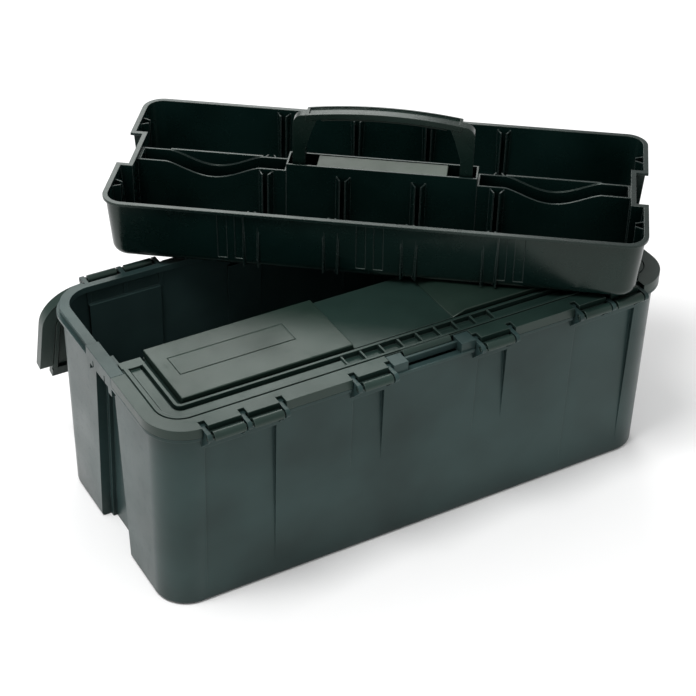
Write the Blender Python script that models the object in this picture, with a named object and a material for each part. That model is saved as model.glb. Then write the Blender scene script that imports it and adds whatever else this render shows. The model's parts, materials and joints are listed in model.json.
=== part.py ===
"""Two-lid tool box with a lift-out tray, as separate moulded pieces.

Metres, +Z up. The origin is the centre of the tub's underside: X runs along the box, the front
lid is at -Y and closed, the rear lid is at +Y and hangs open, and the tray lies askew on top.
"""
import math

import bmesh
import bpy
import numpy as np
from mathutils import Matrix, Vector

# ---- overall sizes -------------------------------------------------------------------------
LENGTH = 0.540            # over the closed lids' flanges
WIDTH = 0.261             # over both lids' flanges, hinges not counted
HEIGHT = 0.207            # floor to the lids' flanges
TRAY_LENGTH = 0.511       # over the tray's rim
TRAY_WIDTH = 0.213
TRAY_HEIGHT = 0.0615
GAP = 0.0003              # between pieces that touch

# ---- tub -----------------------------------------------------------------------------------
CORNER_RADIUS = 0.040     # of the lids' outline, seen from above
RIM_OVERHANG = 0.0055     # rim beyond the tub's wall
WALL = 0.0028
FLOOR = 0.0032
FOOT_RADIUS = 0.004       # rounding along the tub's bottom edge
SIDE_TAPER = 0.005        # each long side leans in by this at the floor
CORNER_TAPER = 0.0025     # and its corners get tighter by this
RIM_WIDTH = 0.0125        # lid flange's edge to the mouth of the tub
LIP_BOTTOM = 0.0125       # below the top of the lids
LIP_TOP = 0.0098
CHANNEL_DEPTH = 0.0133    # upright channel in the middle of each end
CHANNEL_STEP = 0.0040     # its second, narrower step
CHANNEL_LEDGE = 0.0050
CHANNEL_HALF_TOP = 0.020
CHANNEL_HALF_FLOOR = 0.034
CHANNEL_BELOW_LIP = 0.0025
PANEL_DEPTH = 0.0046      # sunk panels under the hinges
PANEL_TOP = 0.0270        # below the top of the lids
OUTER_PANEL_FOOT = 0.014  # heights where the panels run out
INNER_PANEL_FOOT = 0.098
BULGE = 0.0022            # wall behind a panel
BRIDGE_HALF = 0.028       # raised middle of each end of the rim, between the two lids
BRIDGE_DROP = 0.0003      # below the lids' flanges
BRIDGE_SKIRT = 0.0210
SLOT_OFFSET = 0.0125      # lock slots in that skirt
SLOT_SIZE = (0.0017, 0.0090)
SLOT_DEPTH = 0.0022
SLOT_FOOT = 0.004         # above the skirt's lower edge
BRIDGE_DEPTH = 0.004
TIGHTEST = 0.004          # smallest corner radius of the lid's bands

# ---- lids and hinges -----------------------------------------------------------------------
FLANGE = 0.003            # thickness of a lid's flange
SKIRT = 0.0024
SKIRT_DEPTH = 0.0095
LID_GAP = 0.014           # between the raised plates of the two closed lids
TAB_SETBACK = 0.0055      # a lid's corner tabs end short of its plates
DECK_DROP = 0.005         # groove floors below the flange
DECK = 0.0025             # thickness of the lid under the grooves
LEDGE_DROP = 0.002
RIB_RISE = 0.0005
TAB_LENGTH = 0.0115
END_STEPS = (0.0008, 0.0060, 0.0075, 0.0170, 0.0195, 0.0225)    # rib, ledge, rib from the mouth's end
SIDE_STEPS = (0.0055, 0.0092, 0.0107, 0.0200, 0.0235, 0.0263)   # the same from its long side
OUTER_GROOVE_DROP = 0.0034
PLATE_INSET = (0.0050, 0.0032)      # raised plate from the innermost rib, at the end and the side
PLATE_RISE = 0.0035
PLATE_WALL = 0.0020
PLATE_LEAN = 0.0135       # run of the sloped side next to the middle
PLATE_DRAFT = 0.001       # and of its steep side
MIDDLE_SLOPED = 0.0435    # low middle of the lid, as far as the sloped plate
MIDDLE_STEEP = 0.0600     # and as far as the steep one
MIDDLE_DROP = 0.0013
RUNG_PITCH = 0.0194       # cross ribs on the ledge
RUNG_COUNT = 9
RUNG = 0.0018
RUNG_FOOT = 0.0005        # a cross rib's ends run this far into the side ribs
GRIP_HALF = 0.028         # finger pocket in the middle of each long side of the rim
GRIP_SIDE = 0.0435        # the lid's flange is cut away as far as this
GRIP_EDGE = 0.0015        # front ledge of the pocket
GRIP_FLOOR = 0.0113       # below the top of the lids
GRIP_BACK_WALL = 0.0027   # rim left behind it
POST_DEPTH = 0.0168       # posts beside the pocket, from the lid's edge
POST_DROP = 0.0005
GRIP_LIP_REACH = 0.0050   # curved lip of the lid over the pocket
GRIP_LIP_FALL = 0.0062
GRIP_LIP = 0.0016
LABEL_CENTRE = (-0.1597, -0.043)
LABEL_SIZE = (0.113, 0.026)
LABEL = 0.0005
LABEL_SINK = 0.0009

HINGE_OUT = 0.0055        # hinge axis beyond the lids' flange
HINGE_DOWN = 0.0075       # hinge axis below the lids' flange
PIN_RADIUS = 0.0023
KNUCKLE = 0.0023          # wall of a lid's hook round the pin
ARM = 0.004               # thickness of a hinge arm
ARM_RADIUS = 0.0042
ARM_REACH_IN = 0.0150     # arm's length from the axis to the tub
GUSSET_DROP = 0.0175
GUSSET_CHAMFER = 0.003
HINGE_SETBACK = 0.0058    # rim cut back at a hinge so that the lid's edge can pass
ARM_SLOT_DEPTH = 0.0098   # slot for an arm in the lid's flange
HOOK_SETBACK = 0.0015     # the flange between two arms, from the lid's edge
HOOK_SIDE = 0.0015        # from an arm to a hook
WEB_DROP = 0.0041         # foot of a hook's web below the axis
EDGE_GAP = 0.0005         # from a lid's edge to what it passes
OUTER_ARM_INSETS = (0.1160, 0.0795, 0.0420)     # from the lids' ends
INNER_ARMS = (0.0455, 0.0825)
HOOK_OPEN = (math.radians(200), math.radians(285))     # the hook snaps over its pin from below
REAR_OPEN = math.radians(253)   # the rear lid hangs from its hinges

# ---- tray ----------------------------------------------------------------------------------
TRAY_CORNER = 0.021
TRAY_WALL = 0.0022
TRAY_FLOOR = 0.0024
TRAY_TAPER = 0.0035
TRAY_FOOT = 0.009         # rise of the rolled bottom edge
TRAY_FOOT_RUN = 0.0072
TRAY_RIM = 0.0026         # rim beyond the wall
TRAY_RIM_HEIGHT = 0.0028
NOTCH_DEPTH = 0.0120      # recess in each end, which clears the tub's channel
NOTCH_HALF = 0.0295
SPINE_HALF = 0.0121
SPINE_WALL = 0.0018
SPINE_DROP = 0.0048       # spine below the rim
SCOOP_CENTRE = 0.165      # finger dips in the spine
SCOOP_HALF = 0.046
SCOOP_FLAT = 0.018
SCOOP_DEPTH = 0.0125
SCOOP_BACKING = 0.0022
HOUSING_HALF = 0.0925     # handle's guide in the middle of the spine
HOUSING_WIDE = 0.0128
HOUSING_WALL = 0.0018
HOUSING_RISE = 0.0030     # above the rim
SEAT_HALF = 0.063
SEAT_HEIGHT = 0.008
SEAT_SINK = 0.0006
GUIDE_PLACES = (0.0365, 0.112)  # divider guides from the middle
END_GUIDE_PLACE = 0.062
GUIDE_MOUTH = 0.0028      # half of the gap between a pair of ribs at their tips
GUIDE_ROOT = 0.0070       # and at the wall
GUIDE = 0.0014
GUIDE_REACH = 0.0075
GUIDE_DROP = 0.0035       # below the rim
TRAY_PLACE = (0.0654, 0.0792)
TRAY_YAW = math.radians(-36.9)

# ---- tray handle ---------------------------------------------------------------------------
HANDLE_HALF = 0.0872
HANDLE_TOP = 0.0590       # middle of the grip above the tray's rim
HANDLE_ARCH = 0.0041      # rise of the grip's curve over the half-length ARCH_HALF
GRIP_THICK = 0.0052
GRIP_FRONT = 0.0055
GRIP_BACK = 0.0115        # the grip is deeper behind its legs than before them
HANDLE_CORNER = 0.010
LEG_WIDE = 0.0125
LEG_THICK = 0.010
LEG_IN = 0.018            # length held in the housing
GUSSET_RUN = 0.011
GUSSET_FALL = 0.032
GUSSET_BEND = 0.012
ARCH_HALF = 0.064
INSERT_HALF = 0.060
INSERT_THICK = 0.0018
INSERT_WIDE = 0.009

CORNER_STEPS = 8
HALF_L = LENGTH / 2
HALF_W = WIDTH / 2
OUTER_ARMS = tuple(HALF_L - inset for inset in OUTER_ARM_INSETS)
END_BAND = tuple(RIM_WIDTH + step for step in END_STEPS)
SIDE_BAND = tuple(RIM_WIDTH + step for step in SIDE_STEPS)
PLATE_END = END_BAND[-1] + PLATE_INSET[0]
PLATE_SIDE = SIDE_BAND[-1] + PLATE_INSET[1]
HINGE_Y = HALF_W + HINGE_OUT
HINGE_Z = HEIGHT - HINGE_DOWN
RIM_INSET = SKIRT + 2 * GAP
RIM_TOP = HEIGHT - FLANGE - GAP
DECK_TOP = HEIGHT - DECK_DROP
DECK_BOTTOM = DECK_TOP - DECK
LID_HALF_GAP = LID_GAP / 2
PLATE_BACK = LID_HALF_GAP
PLATE_FRONT = HALF_W - PLATE_SIDE
WALL_TOP_L = HALF_L - RIM_OVERHANG
WALL_TOP_W = HALF_W - RIM_OVERHANG
TRAY_Z = HEIGHT + PLATE_RISE + 2 * GAP
WELD = 0.000005
CLEAR = 0.01              # how far a cutter runs past what it cuts
LAP = 0.001               # how far joined solids run into each other
INSIDE = 0.0003           # offset that keeps joined faces from lying in one plane


# ---- helpers -------------------------------------------------------------------------------
def clear_scene():
    for obj in list(bpy.data.objects):
        bpy.data.objects.remove(obj, do_unlink=True)


def collection(name):
    made = bpy.data.collections.new(name)
    bpy.context.scene.collection.children.link(made)
    return made


def material(name, colour, roughness, metallic=0.0):
    made = bpy.data.materials.new(name)
    made.use_nodes = True
    shader = made.node_tree.nodes["Principled BSDF"]
    shader.inputs["Base Color"].default_value = (*colour, 1.0)
    shader.inputs["Roughness"].default_value = roughness
    shader.inputs["Metallic"].default_value = metallic
    return made


def solid(name, bm):
    """A construction solid in the cutters' collection."""
    bmesh.ops.recalc_face_normals(bm, faces=bm.faces)
    mesh = bpy.data.meshes.new(name)
    bm.to_mesh(mesh)
    bm.free()
    obj = bpy.data.objects.new(name, mesh)
    obj.hide_render = True
    obj.display_type = "WIRE"
    CUTTERS.objects.link(obj)
    return obj


def solid_of(name, mesh):
    """A finished mesh as a construction solid."""
    obj = bpy.data.objects.new(name, mesh)
    CUTTERS.objects.link(obj)
    return obj


def block(name, corner, opposite):
    bm = bmesh.new()
    bmesh.ops.create_cube(bm, size=1.0)
    for vert in bm.verts:
        vert.co = [max(a, b) if at > 0 else min(a, b) for at, a, b in zip(vert.co, corner, opposite)]
    return solid(name, bm)


def prism(name, outline, axis, start, end):
    """Extrude a closed outline along an axis. Outline points are (y, z), (x, z) or (x, y)."""
    column = "XYZ".index(axis)
    bm = bmesh.new()
    corners = []
    for point in outline:
        place = list(point)
        place.insert(column, start)
        corners.append(bm.verts.new(place))
    extruded = bmesh.ops.extrude_face_region(bm, geom=[bm.faces.new(corners)])
    for item in extruded["geom"]:
        if isinstance(item, bmesh.types.BMVert):
            item.co[column] = end
    return solid(name, bm)


def rounded(half_x, half_y, radius):
    """Outline of a rounded rectangle, anticlockwise from its +X side."""
    points = []
    for centre_x, centre_y, start in ((half_x - radius, half_y - radius, 0),
                                      (radius - half_x, half_y - radius, 90),
                                      (radius - half_x, radius - half_y, 180),
                                      (half_x - radius, radius - half_y, 270)):
        for step in range(CORNER_STEPS + 1):
            angle = math.radians(start + 90 * step / CORNER_STEPS)
            points.append((centre_x + radius * math.cos(angle), centre_y + radius * math.sin(angle)))
    return points


def loft(name, sections):
    """A closed solid through outlines that have the same number of points, low to high."""
    bm = bmesh.new()
    rings = [[bm.verts.new((x, y, z)) for x, y in outline] for outline, z in sections]
    bm.faces.new(list(reversed(rings[0])))
    bm.faces.new(rings[-1])
    count = len(rings[0])
    for lower, upper in zip(rings, rings[1:]):
        for index in range(count):
            after = (index + 1) % count
            bm.faces.new((lower[index], lower[after], upper[after], upper[index]))
    return solid(name, bm)


def side_path(half_x, half_y, radius, back):
    """Open path round the front of a rounded rectangle, from -X to +X, ending at y = back."""
    points = [(-half_x, back)]
    for centre_x, start in ((radius - half_x, 180), (half_x - radius, 270)):
        for step in range(CORNER_STEPS + 1):
            angle = math.radians(start + 90 * step / CORNER_STEPS)
            points.append((centre_x + radius * math.cos(angle),
                           radius - half_y + radius * math.sin(angle)))
    points.append((half_x, back))
    return points


def inset_path(end, side, back):
    """The lid's own path, inset by end at its ends and by side along its long side."""
    radius = max(CORNER_RADIUS - (end + side) / 2, TIGHTEST)
    return side_path(HALF_L - end, HALF_W - side, radius, back)


def band(name, outer, inner, low, high):
    """A U-shaped band between two open paths."""
    return prism(name, outer + list(reversed(inner)), "Z", low, high)


def pin_along_x(name, radius, start, end, y, z, sides=20):
    bm = bmesh.new()
    bmesh.ops.create_cone(bm, cap_ends=True, segments=sides, radius1=radius, radius2=radius,
                          depth=end - start)
    bmesh.ops.rotate(bm, matrix=Matrix.Rotation(math.pi / 2, 3, "Y"), verts=bm.verts)
    bmesh.ops.translate(bm, vec=((start + end) / 2, y, z), verts=bm.verts)
    return solid(name, bm)


def welded(mesh, flatten=False):
    """Merge points that a Boolean left side by side, and flat faces once the shape is done."""
    bm = bmesh.new()
    bm.from_mesh(mesh)
    bmesh.ops.remove_doubles(bm, verts=bm.verts, dist=WELD)
    if flatten:
        bmesh.ops.dissolve_limit(bm, angle_limit=math.radians(0.05), verts=bm.verts, edges=bm.edges)
    bm.to_mesh(mesh)
    bm.free()
    return mesh


def shaped(base, steps):
    """Apply Boolean steps in turn, each ("UNION" or "DIFFERENCE", solid), and return the mesh."""
    for operation, other in steps:
        modifier = base.modifiers.new("shape", "BOOLEAN")
        modifier.operation = operation
        modifier.solver = "EXACT"
        modifier.object = other
        bpy.context.view_layer.update()
        evaluated = base.evaluated_get(bpy.context.evaluated_depsgraph_get())
        mesh = bpy.data.meshes.new_from_object(evaluated)
        base.modifiers.clear()
        base.data = welded(mesh)
        bpy.data.objects.remove(other, do_unlink=True)
    mesh = base.data
    bpy.data.objects.remove(base, do_unlink=True)
    return welded(mesh, flatten=True)


def part(name, mesh, finish, location=(0, 0, 0), rotation=(0, 0, 0), parent=None):
    obj = bpy.data.objects.new(name, mesh)
    if not mesh.materials:
        mesh.materials.append(finish)
    obj.location = location
    obj.rotation_euler = rotation
    obj.parent = parent
    PARTS.objects.link(obj)
    mesh.shade_smooth()
    mesh.set_sharp_from_angle(angle=math.radians(30))
    return obj


# ---- tub -----------------------------------------------------------------------------------
def tub_wall(height, inset):
    """The tub's outline at a height, inset from its outer face."""
    share = min(height / (HEIGHT - LIP_BOTTOM), 1.0)
    half_y = WALL_TOP_W - SIDE_TAPER * (1 - share)
    radius = CORNER_RADIUS - RIM_OVERHANG - CORNER_TAPER * (1 - share)
    return rounded(WALL_TOP_L - inset, half_y - inset, radius - inset)


def channel(name, end, grow):
    """Stepped channel up the middle of one end, or its inner side when grown by the wall."""
    top = HEIGHT - LIP_BOTTOM - CHANNEL_BELOW_LIP + grow
    pieces = []
    for label, depth, ledge in (("wide", CHANNEL_DEPTH - CHANNEL_STEP, 0.0),
                                ("deep", CHANNEL_DEPTH, CHANNEL_LEDGE)):
        low = CHANNEL_HALF_FLOOR - ledge + grow
        high = CHANNEL_HALF_TOP - ledge + grow
        outline = [(-low, -GAP * 10), (low, -GAP * 10), (high, top), (-high, top)]
        start, stop = WALL_TOP_L - depth - grow, HALF_L + CLEAR
        pieces.append(prism(f"{name}_{label}", outline, "X", end * start, end * stop))
    return pieces


def side_face(height):
    """How far a long side's face is from the middle, at a height."""
    return WALL_TOP_W - SIDE_TAPER * (1 - height / (HEIGHT - LIP_BOTTOM))


def panel(name, x_low, x_high, foot, side, grow):
    """Sunk panel under a hinge: a wedge that runs out at the height foot."""
    top = HEIGHT - PANEL_TOP + grow
    face_top = side_face(HEIGHT - PANEL_TOP) - PANEL_DEPTH - grow
    face_foot = side_face(foot) - grow
    slope = (face_foot - face_top) / (HEIGHT - PANEL_TOP - foot)
    low = foot - grow
    outline = [(side * (face_top - slope * grow), top), (side * (face_foot + slope * grow), low),
               (side * (HALF_W + CLEAR), low), (side * (HALF_W + CLEAR), top)]
    return prism(name, outline, "X", x_low - grow, x_high + grow)


def panels(label, grow):
    made = []
    for side in (-1, 1):
        for mirror in (-1, 1):
            for arms, foot in ((OUTER_ARMS, OUTER_PANEL_FOOT), (INNER_ARMS, INNER_PANEL_FOOT)):
                edges = sorted((mirror * (arms[0] + ARM), mirror * (arms[-1] - ARM / 4)))
                name = f"{label}_{side}_{mirror}_{len(arms)}"
                made.append(panel(name, edges[0], edges[1], foot, side, grow))
    return made


def arm_outline(side):
    """A hinge arm from the side: a rounded end round the pin, a straight top and a gusset."""
    points = []
    for angle in np.linspace(math.radians(90), math.radians(234), 9):
        points.append((HINGE_Y - ARM_RADIUS * math.cos(angle), HINGE_Z + ARM_RADIUS * math.sin(angle)))
    root = HINGE_Y - ARM_REACH_IN
    foot = HINGE_Z - GUSSET_DROP
    points += [(root + GUSSET_CHAMFER, foot), (root, foot - GUSSET_CHAMFER),
               (root, HINGE_Z + ARM_RADIUS)]
    return [(side * y, z) for y, z in points]


def hinge_places():
    """Every hinge as (name, sorted arm centres), for one long side."""
    return [("1", [-x for x in reversed(OUTER_ARMS)]), ("2", [-x for x in reversed(INNER_ARMS)]),
            ("3", list(INNER_ARMS)), ("4", list(OUTER_ARMS))]


def build_tub():
    wall_top = HEIGHT - LIP_BOTTOM
    knee = FOOT_RADIUS * (1 - math.cos(math.pi / 4))
    outer = loft("tub_outer", [(tub_wall(0, FOOT_RADIUS), 0.0), (tub_wall(0, knee), knee),
                               (tub_wall(FOOT_RADIUS, 0.0), FOOT_RADIUS),
                               (tub_wall(wall_top, 0.0), wall_top)])
    lip = prism("tub_lip", rounded(HALF_L, HALF_W, CORNER_RADIUS), "Z", wall_top - GAP, HEIGHT - LIP_TOP)
    rim_outline = rounded(HALF_L - RIM_INSET, HALF_W - RIM_INSET, CORNER_RADIUS - RIM_INSET)
    rim = prism("tub_rim", rim_outline, "Z", wall_top - GAP, RIM_TOP)
    steps = [("UNION", lip), ("UNION", rim)]
    for end in (-1, 1):
        bridge_low = (end * (HALF_L - RIM_WIDTH - LAP), -BRIDGE_HALF, RIM_TOP - BRIDGE_DEPTH)
        bridge_high = (end * HALF_L, BRIDGE_HALF, HEIGHT - BRIDGE_DROP)
        steps.append(("UNION", block("tub_bridge", bridge_low, bridge_high)))
        skirt_low = (end * (WALL_TOP_L - LAP), -BRIDGE_HALF, HEIGHT - BRIDGE_SKIRT)
        steps.append(("UNION", block("tub_skirt", skirt_low, (end * HALF_L, BRIDGE_HALF, RIM_TOP))))
    for side in (-1, 1):
        for number, arms in hinge_places():
            low, high = arms[0] - ARM, arms[-1] + ARM
            cut = block("tub_setback", (low, side * (HALF_W - HINGE_SETBACK), wall_top - LAP),
                        (high, side * (HALF_W + CLEAR), HEIGHT))
            steps.append(("DIFFERENCE", cut))
        pocket_low = (-GRIP_HALF, side * (HALF_W - RIM_WIDTH + GRIP_BACK_WALL), HEIGHT - GRIP_FLOOR)
        pocket = block("tub_grip", pocket_low, (GRIP_HALF, side * (HALF_W - GRIP_EDGE), HEIGHT))
        edge_low = (-GRIP_HALF, side * (HALF_W - 2 * GRIP_EDGE), HEIGHT - LIP_TOP - GAP)
        lowered = block("tub_grip_edge", edge_low, (GRIP_HALF, side * (HALF_W + CLEAR), HEIGHT))
        steps += [("DIFFERENCE", pocket), ("DIFFERENCE", lowered)]
    for end in (-1, 1):
        steps += [("DIFFERENCE", cutter) for cutter in channel("tub_channel", end, 0.0)]
    steps += [("DIFFERENCE", cutter) for cutter in panels("tub_panel", 0.0)]
    inner = loft("tub_inner", [(tub_wall(0, WALL + FOOT_RADIUS), FLOOR),
                               (tub_wall(FLOOR + FOOT_RADIUS, WALL), FLOOR + FOOT_RADIUS),
                               (tub_wall(wall_top, WALL), wall_top + WALL)])
    bumps = [cutter for end in (-1, 1) for cutter in channel("tub_bump", end, WALL)]
    bumps += panels("tub_bulge", BULGE)
    cavity = solid_of("tub_cavity", shaped(inner, [("DIFFERENCE", bump) for bump in bumps]))
    mouth_outline = rounded(HALF_L - RIM_WIDTH, HALF_W - RIM_WIDTH, CORNER_RADIUS - RIM_WIDTH)
    mouth = prism("tub_mouth", mouth_outline, "Z", wall_top + WALL / 2, HEIGHT + CLEAR)
    steps += [("DIFFERENCE", cavity), ("DIFFERENCE", mouth)]
    for side in (-1, 1):
        for number, arms in hinge_places():
            for centre in arms:
                steps.append(("UNION", prism(f"tub_arm{number}", arm_outline(side), "X",
                                             centre - ARM / 2, centre + ARM / 2)))
            steps.append(("DIFFERENCE", pin_along_x("tub_bore", PIN_RADIUS + GAP, arms[0] - CLEAR,
                                                    arms[-1] + CLEAR, side * HINGE_Y, HINGE_Z)))
        for mirror in (-1, 1):
            post = block("tub_post", (mirror * GRIP_HALF, side * (HALF_W - POST_DEPTH), wall_top + INSIDE),
                         (mirror * (GRIP_SIDE - 2 * GAP), side * (HALF_W - GRIP_EDGE), HEIGHT - POST_DROP))
            steps.append(("UNION", post))
    for end in (-1, 1):
        for y in (-SLOT_OFFSET, SLOT_OFFSET):
            half_y, half_z = SLOT_SIZE[0] / 2, SLOT_SIZE[1] / 2
            middle = HEIGHT - BRIDGE_SKIRT + SLOT_FOOT + half_z
            slot = block("tub_slot", (end * (HALF_L - SLOT_DEPTH), y - half_y, middle - half_z),
                         (end * (HALF_L + CLEAR), y + half_y, middle + half_z))
            steps.append(("DIFFERENCE", slot))
    return part("tub", shaped(outer, steps), TUB_PLASTIC)


# ---- lids ----------------------------------------------------------------------------------
def hook_outline():
    """A lid's open hook round the hinge pin, seen along the pin."""
    inner, outer = PIN_RADIUS + GAP, PIN_RADIUS + GAP + KNUCKLE
    start, stop = HOOK_OPEN[1], 2 * math.pi + HOOK_OPEN[0]
    angles = np.linspace(start, stop, 15)
    ring = [(radius * math.cos(angle), radius * math.sin(angle))
            for radius, run in ((outer, angles), (inner, angles[::-1])) for angle in run]
    return [(y - HINGE_Y, z + HINGE_Z) for y, z in ring]


def lid_shell(back, tab_back, groove_back):
    """The lid's flange and skirt, its deck and the grooves and ribs that run round it."""
    end_a, end_b, end_c, end_d, end_e, end_f = END_BAND
    side_a, side_b, side_c, side_d, side_e, side_f = SIDE_BAND
    top = HEIGHT + CLEAR
    flange = band("lid_flange", inset_path(0, 0, back), inset_path(end_a + 2 * LAP, side_a + 2 * LAP, back),
                  HEIGHT - SKIRT_DEPTH, HEIGHT)
    under = band("lid_under", inset_path(SKIRT, SKIRT, 0), inset_path(end_a + 4 * LAP, side_a + 4 * LAP, 0),
                 HEIGHT - 2 * SKIRT_DEPTH, HEIGHT - FLANGE)
    body = prism("lid_body", inset_path(end_a, side_a, tab_back), "Z", DECK_BOTTOM, HEIGHT + RIB_RISE)
    steps = [("DIFFERENCE", under), ("UNION", body)]
    outer_floor = HEIGHT - OUTER_GROOVE_DROP
    for near, far, side_near, side_far, floor in ((end_b, end_c, side_b, side_c, outer_floor),
                                                  (end_d, end_e, side_d, side_e, DECK_TOP)):
        groove = band("lid_groove", inset_path(near, side_near, groove_back),
                      inset_path(far, side_far, groove_back), floor, top)
        steps.append(("DIFFERENCE", groove))
    ledge = band("lid_ledge", inset_path((end_b + end_c) / 2, (side_b + side_c) / 2, groove_back - LAP / 2),
                 inset_path((end_d + end_e) / 2, (side_d + side_e) / 2, groove_back - LAP / 2),
                 HEIGHT - LEDGE_DROP, top)
    hollow = prism("lid_hollow", inset_path(end_f, side_f, 0), "Z", DECK_TOP, top)
    return flange, steps + [("DIFFERENCE", ledge), ("DIFFERENCE", hollow)]


def grip_lip_outline():
    """Lip over the finger pocket: it leaves the side rib level and turns down as it reaches out."""
    root = -(HALF_W - SIDE_BAND[0])
    top = HEIGHT - INSIDE
    upper, lower = [(root + GRIP_LIP, top)], [(root + GRIP_LIP, top - GRIP_LIP)]
    for turn in np.linspace(0, math.pi / 2, 6):
        across, fall = math.sin(turn), 1 - math.cos(turn)
        upper.append((root - GRIP_LIP_REACH * across, top - GRIP_LIP_FALL * fall))
        lower.append((root - (GRIP_LIP_REACH - GRIP_LIP) * across,
                      top - GRIP_LIP - (GRIP_LIP_FALL - GRIP_LIP) * fall))
    return upper + lower[::-1]


def hinge_cuts(arms):
    """Room in the lid's flange for one hinge's arms."""
    side = ARM / 2 + EDGE_GAP
    steps = [("DIFFERENCE", block("lid_clear", (arms[0] - side, -HINGE_Y - CLEAR, HEIGHT - 2 * CLEAR),
                                  (arms[-1] + side, -HALF_W + HOOK_SETBACK, HEIGHT + CLEAR)))]
    for centre in arms:
        slot = block("lid_slot", (centre - side - EDGE_GAP, -HINGE_Y - CLEAR, HEIGHT - 2 * CLEAR),
                     (centre + side + EDGE_GAP, -HALF_W + ARM_SLOT_DEPTH, HEIGHT + CLEAR))
        steps.append(("DIFFERENCE", slot))
    return steps


def hooks(arms):
    """A hook round the pin between each two arms, on an apron under the flange's edge."""
    steps = []
    apron_face = -HALF_W + HOOK_SETBACK + INSIDE
    for first, second in zip(arms, arms[1:]):
        low, high = first + ARM / 2 + HOOK_SIDE, second - ARM / 2 - HOOK_SIDE
        apron = block("lid_apron", (low, apron_face, HINGE_Z - WEB_DROP - INSIDE),
                      (high, apron_face + 2 * LAP, HEIGHT - LAP))
        web = block("lid_web", (low + INSIDE, -HALF_W - 4 * INSIDE, HINGE_Z - WEB_DROP),
                    (high - INSIDE, apron_face + LAP, HINGE_Z + 4 * INSIDE))
        hook = prism("lid_hook", hook_outline(), "X", low + 2 * INSIDE, high - 2 * INSIDE)
        steps += [("UNION", apron), ("UNION", web), ("UNION", hook)]
    return steps


def build_lid_mesh():
    """The front lid where it closes, with its hinge axis at y = -HINGE_Y, z = HINGE_Z."""
    back = -BRIDGE_HALF - EDGE_GAP
    tab_back = -LID_HALF_GAP - TAB_SETBACK
    groove_back = tab_back - TAB_LENGTH
    flange, steps = lid_shell(back, tab_back, groove_back)
    plate_end = HALF_L - PLATE_END
    deck_back = block("lid_back", (-plate_end, tab_back - 4 * LAP, DECK_BOTTOM + INSIDE),
                      (plate_end, -PLATE_BACK, DECK_TOP - INSIDE))
    middle = block("lid_middle", (-MIDDLE_STEEP, -PLATE_FRONT, DECK_BOTTOM + 2 * INSIDE),
                   (MIDDLE_SLOPED, -PLATE_BACK - INSIDE, HEIGHT - MIDDLE_DROP))
    rung_low, rung_high = -(HALF_W - SIDE_BAND[1] + RUNG_FOOT), -(HALF_W - SIDE_BAND[4] - RUNG_FOOT)
    cells_half = (RUNG_COUNT - 1) / 2 * RUNG_PITCH
    cells = block("lid_cells", (-cells_half, -(HALF_W - SIDE_BAND[2]), DECK_TOP + INSIDE),
                  (cells_half, -(HALF_W - SIDE_BAND[3] - RUNG_FOOT), HEIGHT + CLEAR))
    steps += [("UNION", deck_back), ("UNION", middle), ("DIFFERENCE", cells)]
    for index in range(RUNG_COUNT):
        x = (index - (RUNG_COUNT - 1) / 2) * RUNG_PITCH
        rung = block("lid_rung", (x - RUNG / 2, rung_low, DECK_BOTTOM + INSIDE),
                     (x + RUNG / 2, rung_high, HEIGHT - INSIDE))
        steps.append(("UNION", rung))
    opened = block("lid_grip", (-GRIP_SIDE, -HALF_W - CLEAR, HEIGHT - 2 * CLEAR),
                   (GRIP_SIDE, -(HALF_W - SIDE_BAND[0] + EDGE_GAP), HEIGHT + CLEAR))
    lip_half = GRIP_HALF - 2 * GRIP_EDGE
    lip = prism("lid_grip_lip", grip_lip_outline(), "X", -lip_half, lip_half)
    steps += [("DIFFERENCE", opened), ("UNION", lip)]
    for number, arms in hinge_places():
        steps += hinge_cuts(arms) + hooks(arms)
    mesh = shaped(flange, steps)
    mesh.transform(Matrix.Translation((0, HINGE_Y, -HINGE_Z)))
    return mesh


def build_plate_mesh(mirror, label):
    """Raised cover plate on one half of a lid, in the lid's own frame."""
    end = HALF_L - PLATE_END
    middle, lean = (MIDDLE_SLOPED + GAP, PLATE_LEAN) if mirror > 0 else (MIDDLE_STEEP + GAP, PLATE_DRAFT)
    bottom, top = DECK_TOP + GAP, HEIGHT + PLATE_RISE
    outline = [(mirror * end, bottom), (mirror * middle, bottom), (mirror * middle, HEIGHT - MIDDLE_DROP),
               (mirror * (middle + lean), top), (mirror * end, top)]
    plate = prism("plate_outer", outline, "Y", -PLATE_FRONT, -PLATE_BACK - GAP)
    hollow_low = (mirror * (middle + PLATE_WALL + lean), -PLATE_FRONT + PLATE_WALL, bottom - CLEAR)
    hollow = block("plate_hollow", hollow_low, (mirror * (end - PLATE_WALL), -PLATE_BACK - PLATE_WALL,
                                                top - PLATE_WALL - LABEL_SINK))
    steps = [("DIFFERENCE", hollow)]
    if label:
        low, high = label_box()
        steps.append(("DIFFERENCE", block("plate_recess", (low[0] - GAP, low[1] - GAP, top - LABEL_SINK),
                                          (high[0] + GAP, high[1] + GAP, top + CLEAR))))
    mesh = shaped(plate, steps)
    mesh.transform(Matrix.Translation((0, HINGE_Y, -HINGE_Z)))
    return mesh


def label_box():
    bottom = HEIGHT + PLATE_RISE - LABEL_SINK + GAP
    (middle_x, middle_y), (length, width) = LABEL_CENTRE, LABEL_SIZE
    return ((middle_x - length / 2, middle_y - width / 2, bottom),
            (middle_x + length / 2, middle_y + width / 2, bottom + LABEL))


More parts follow.
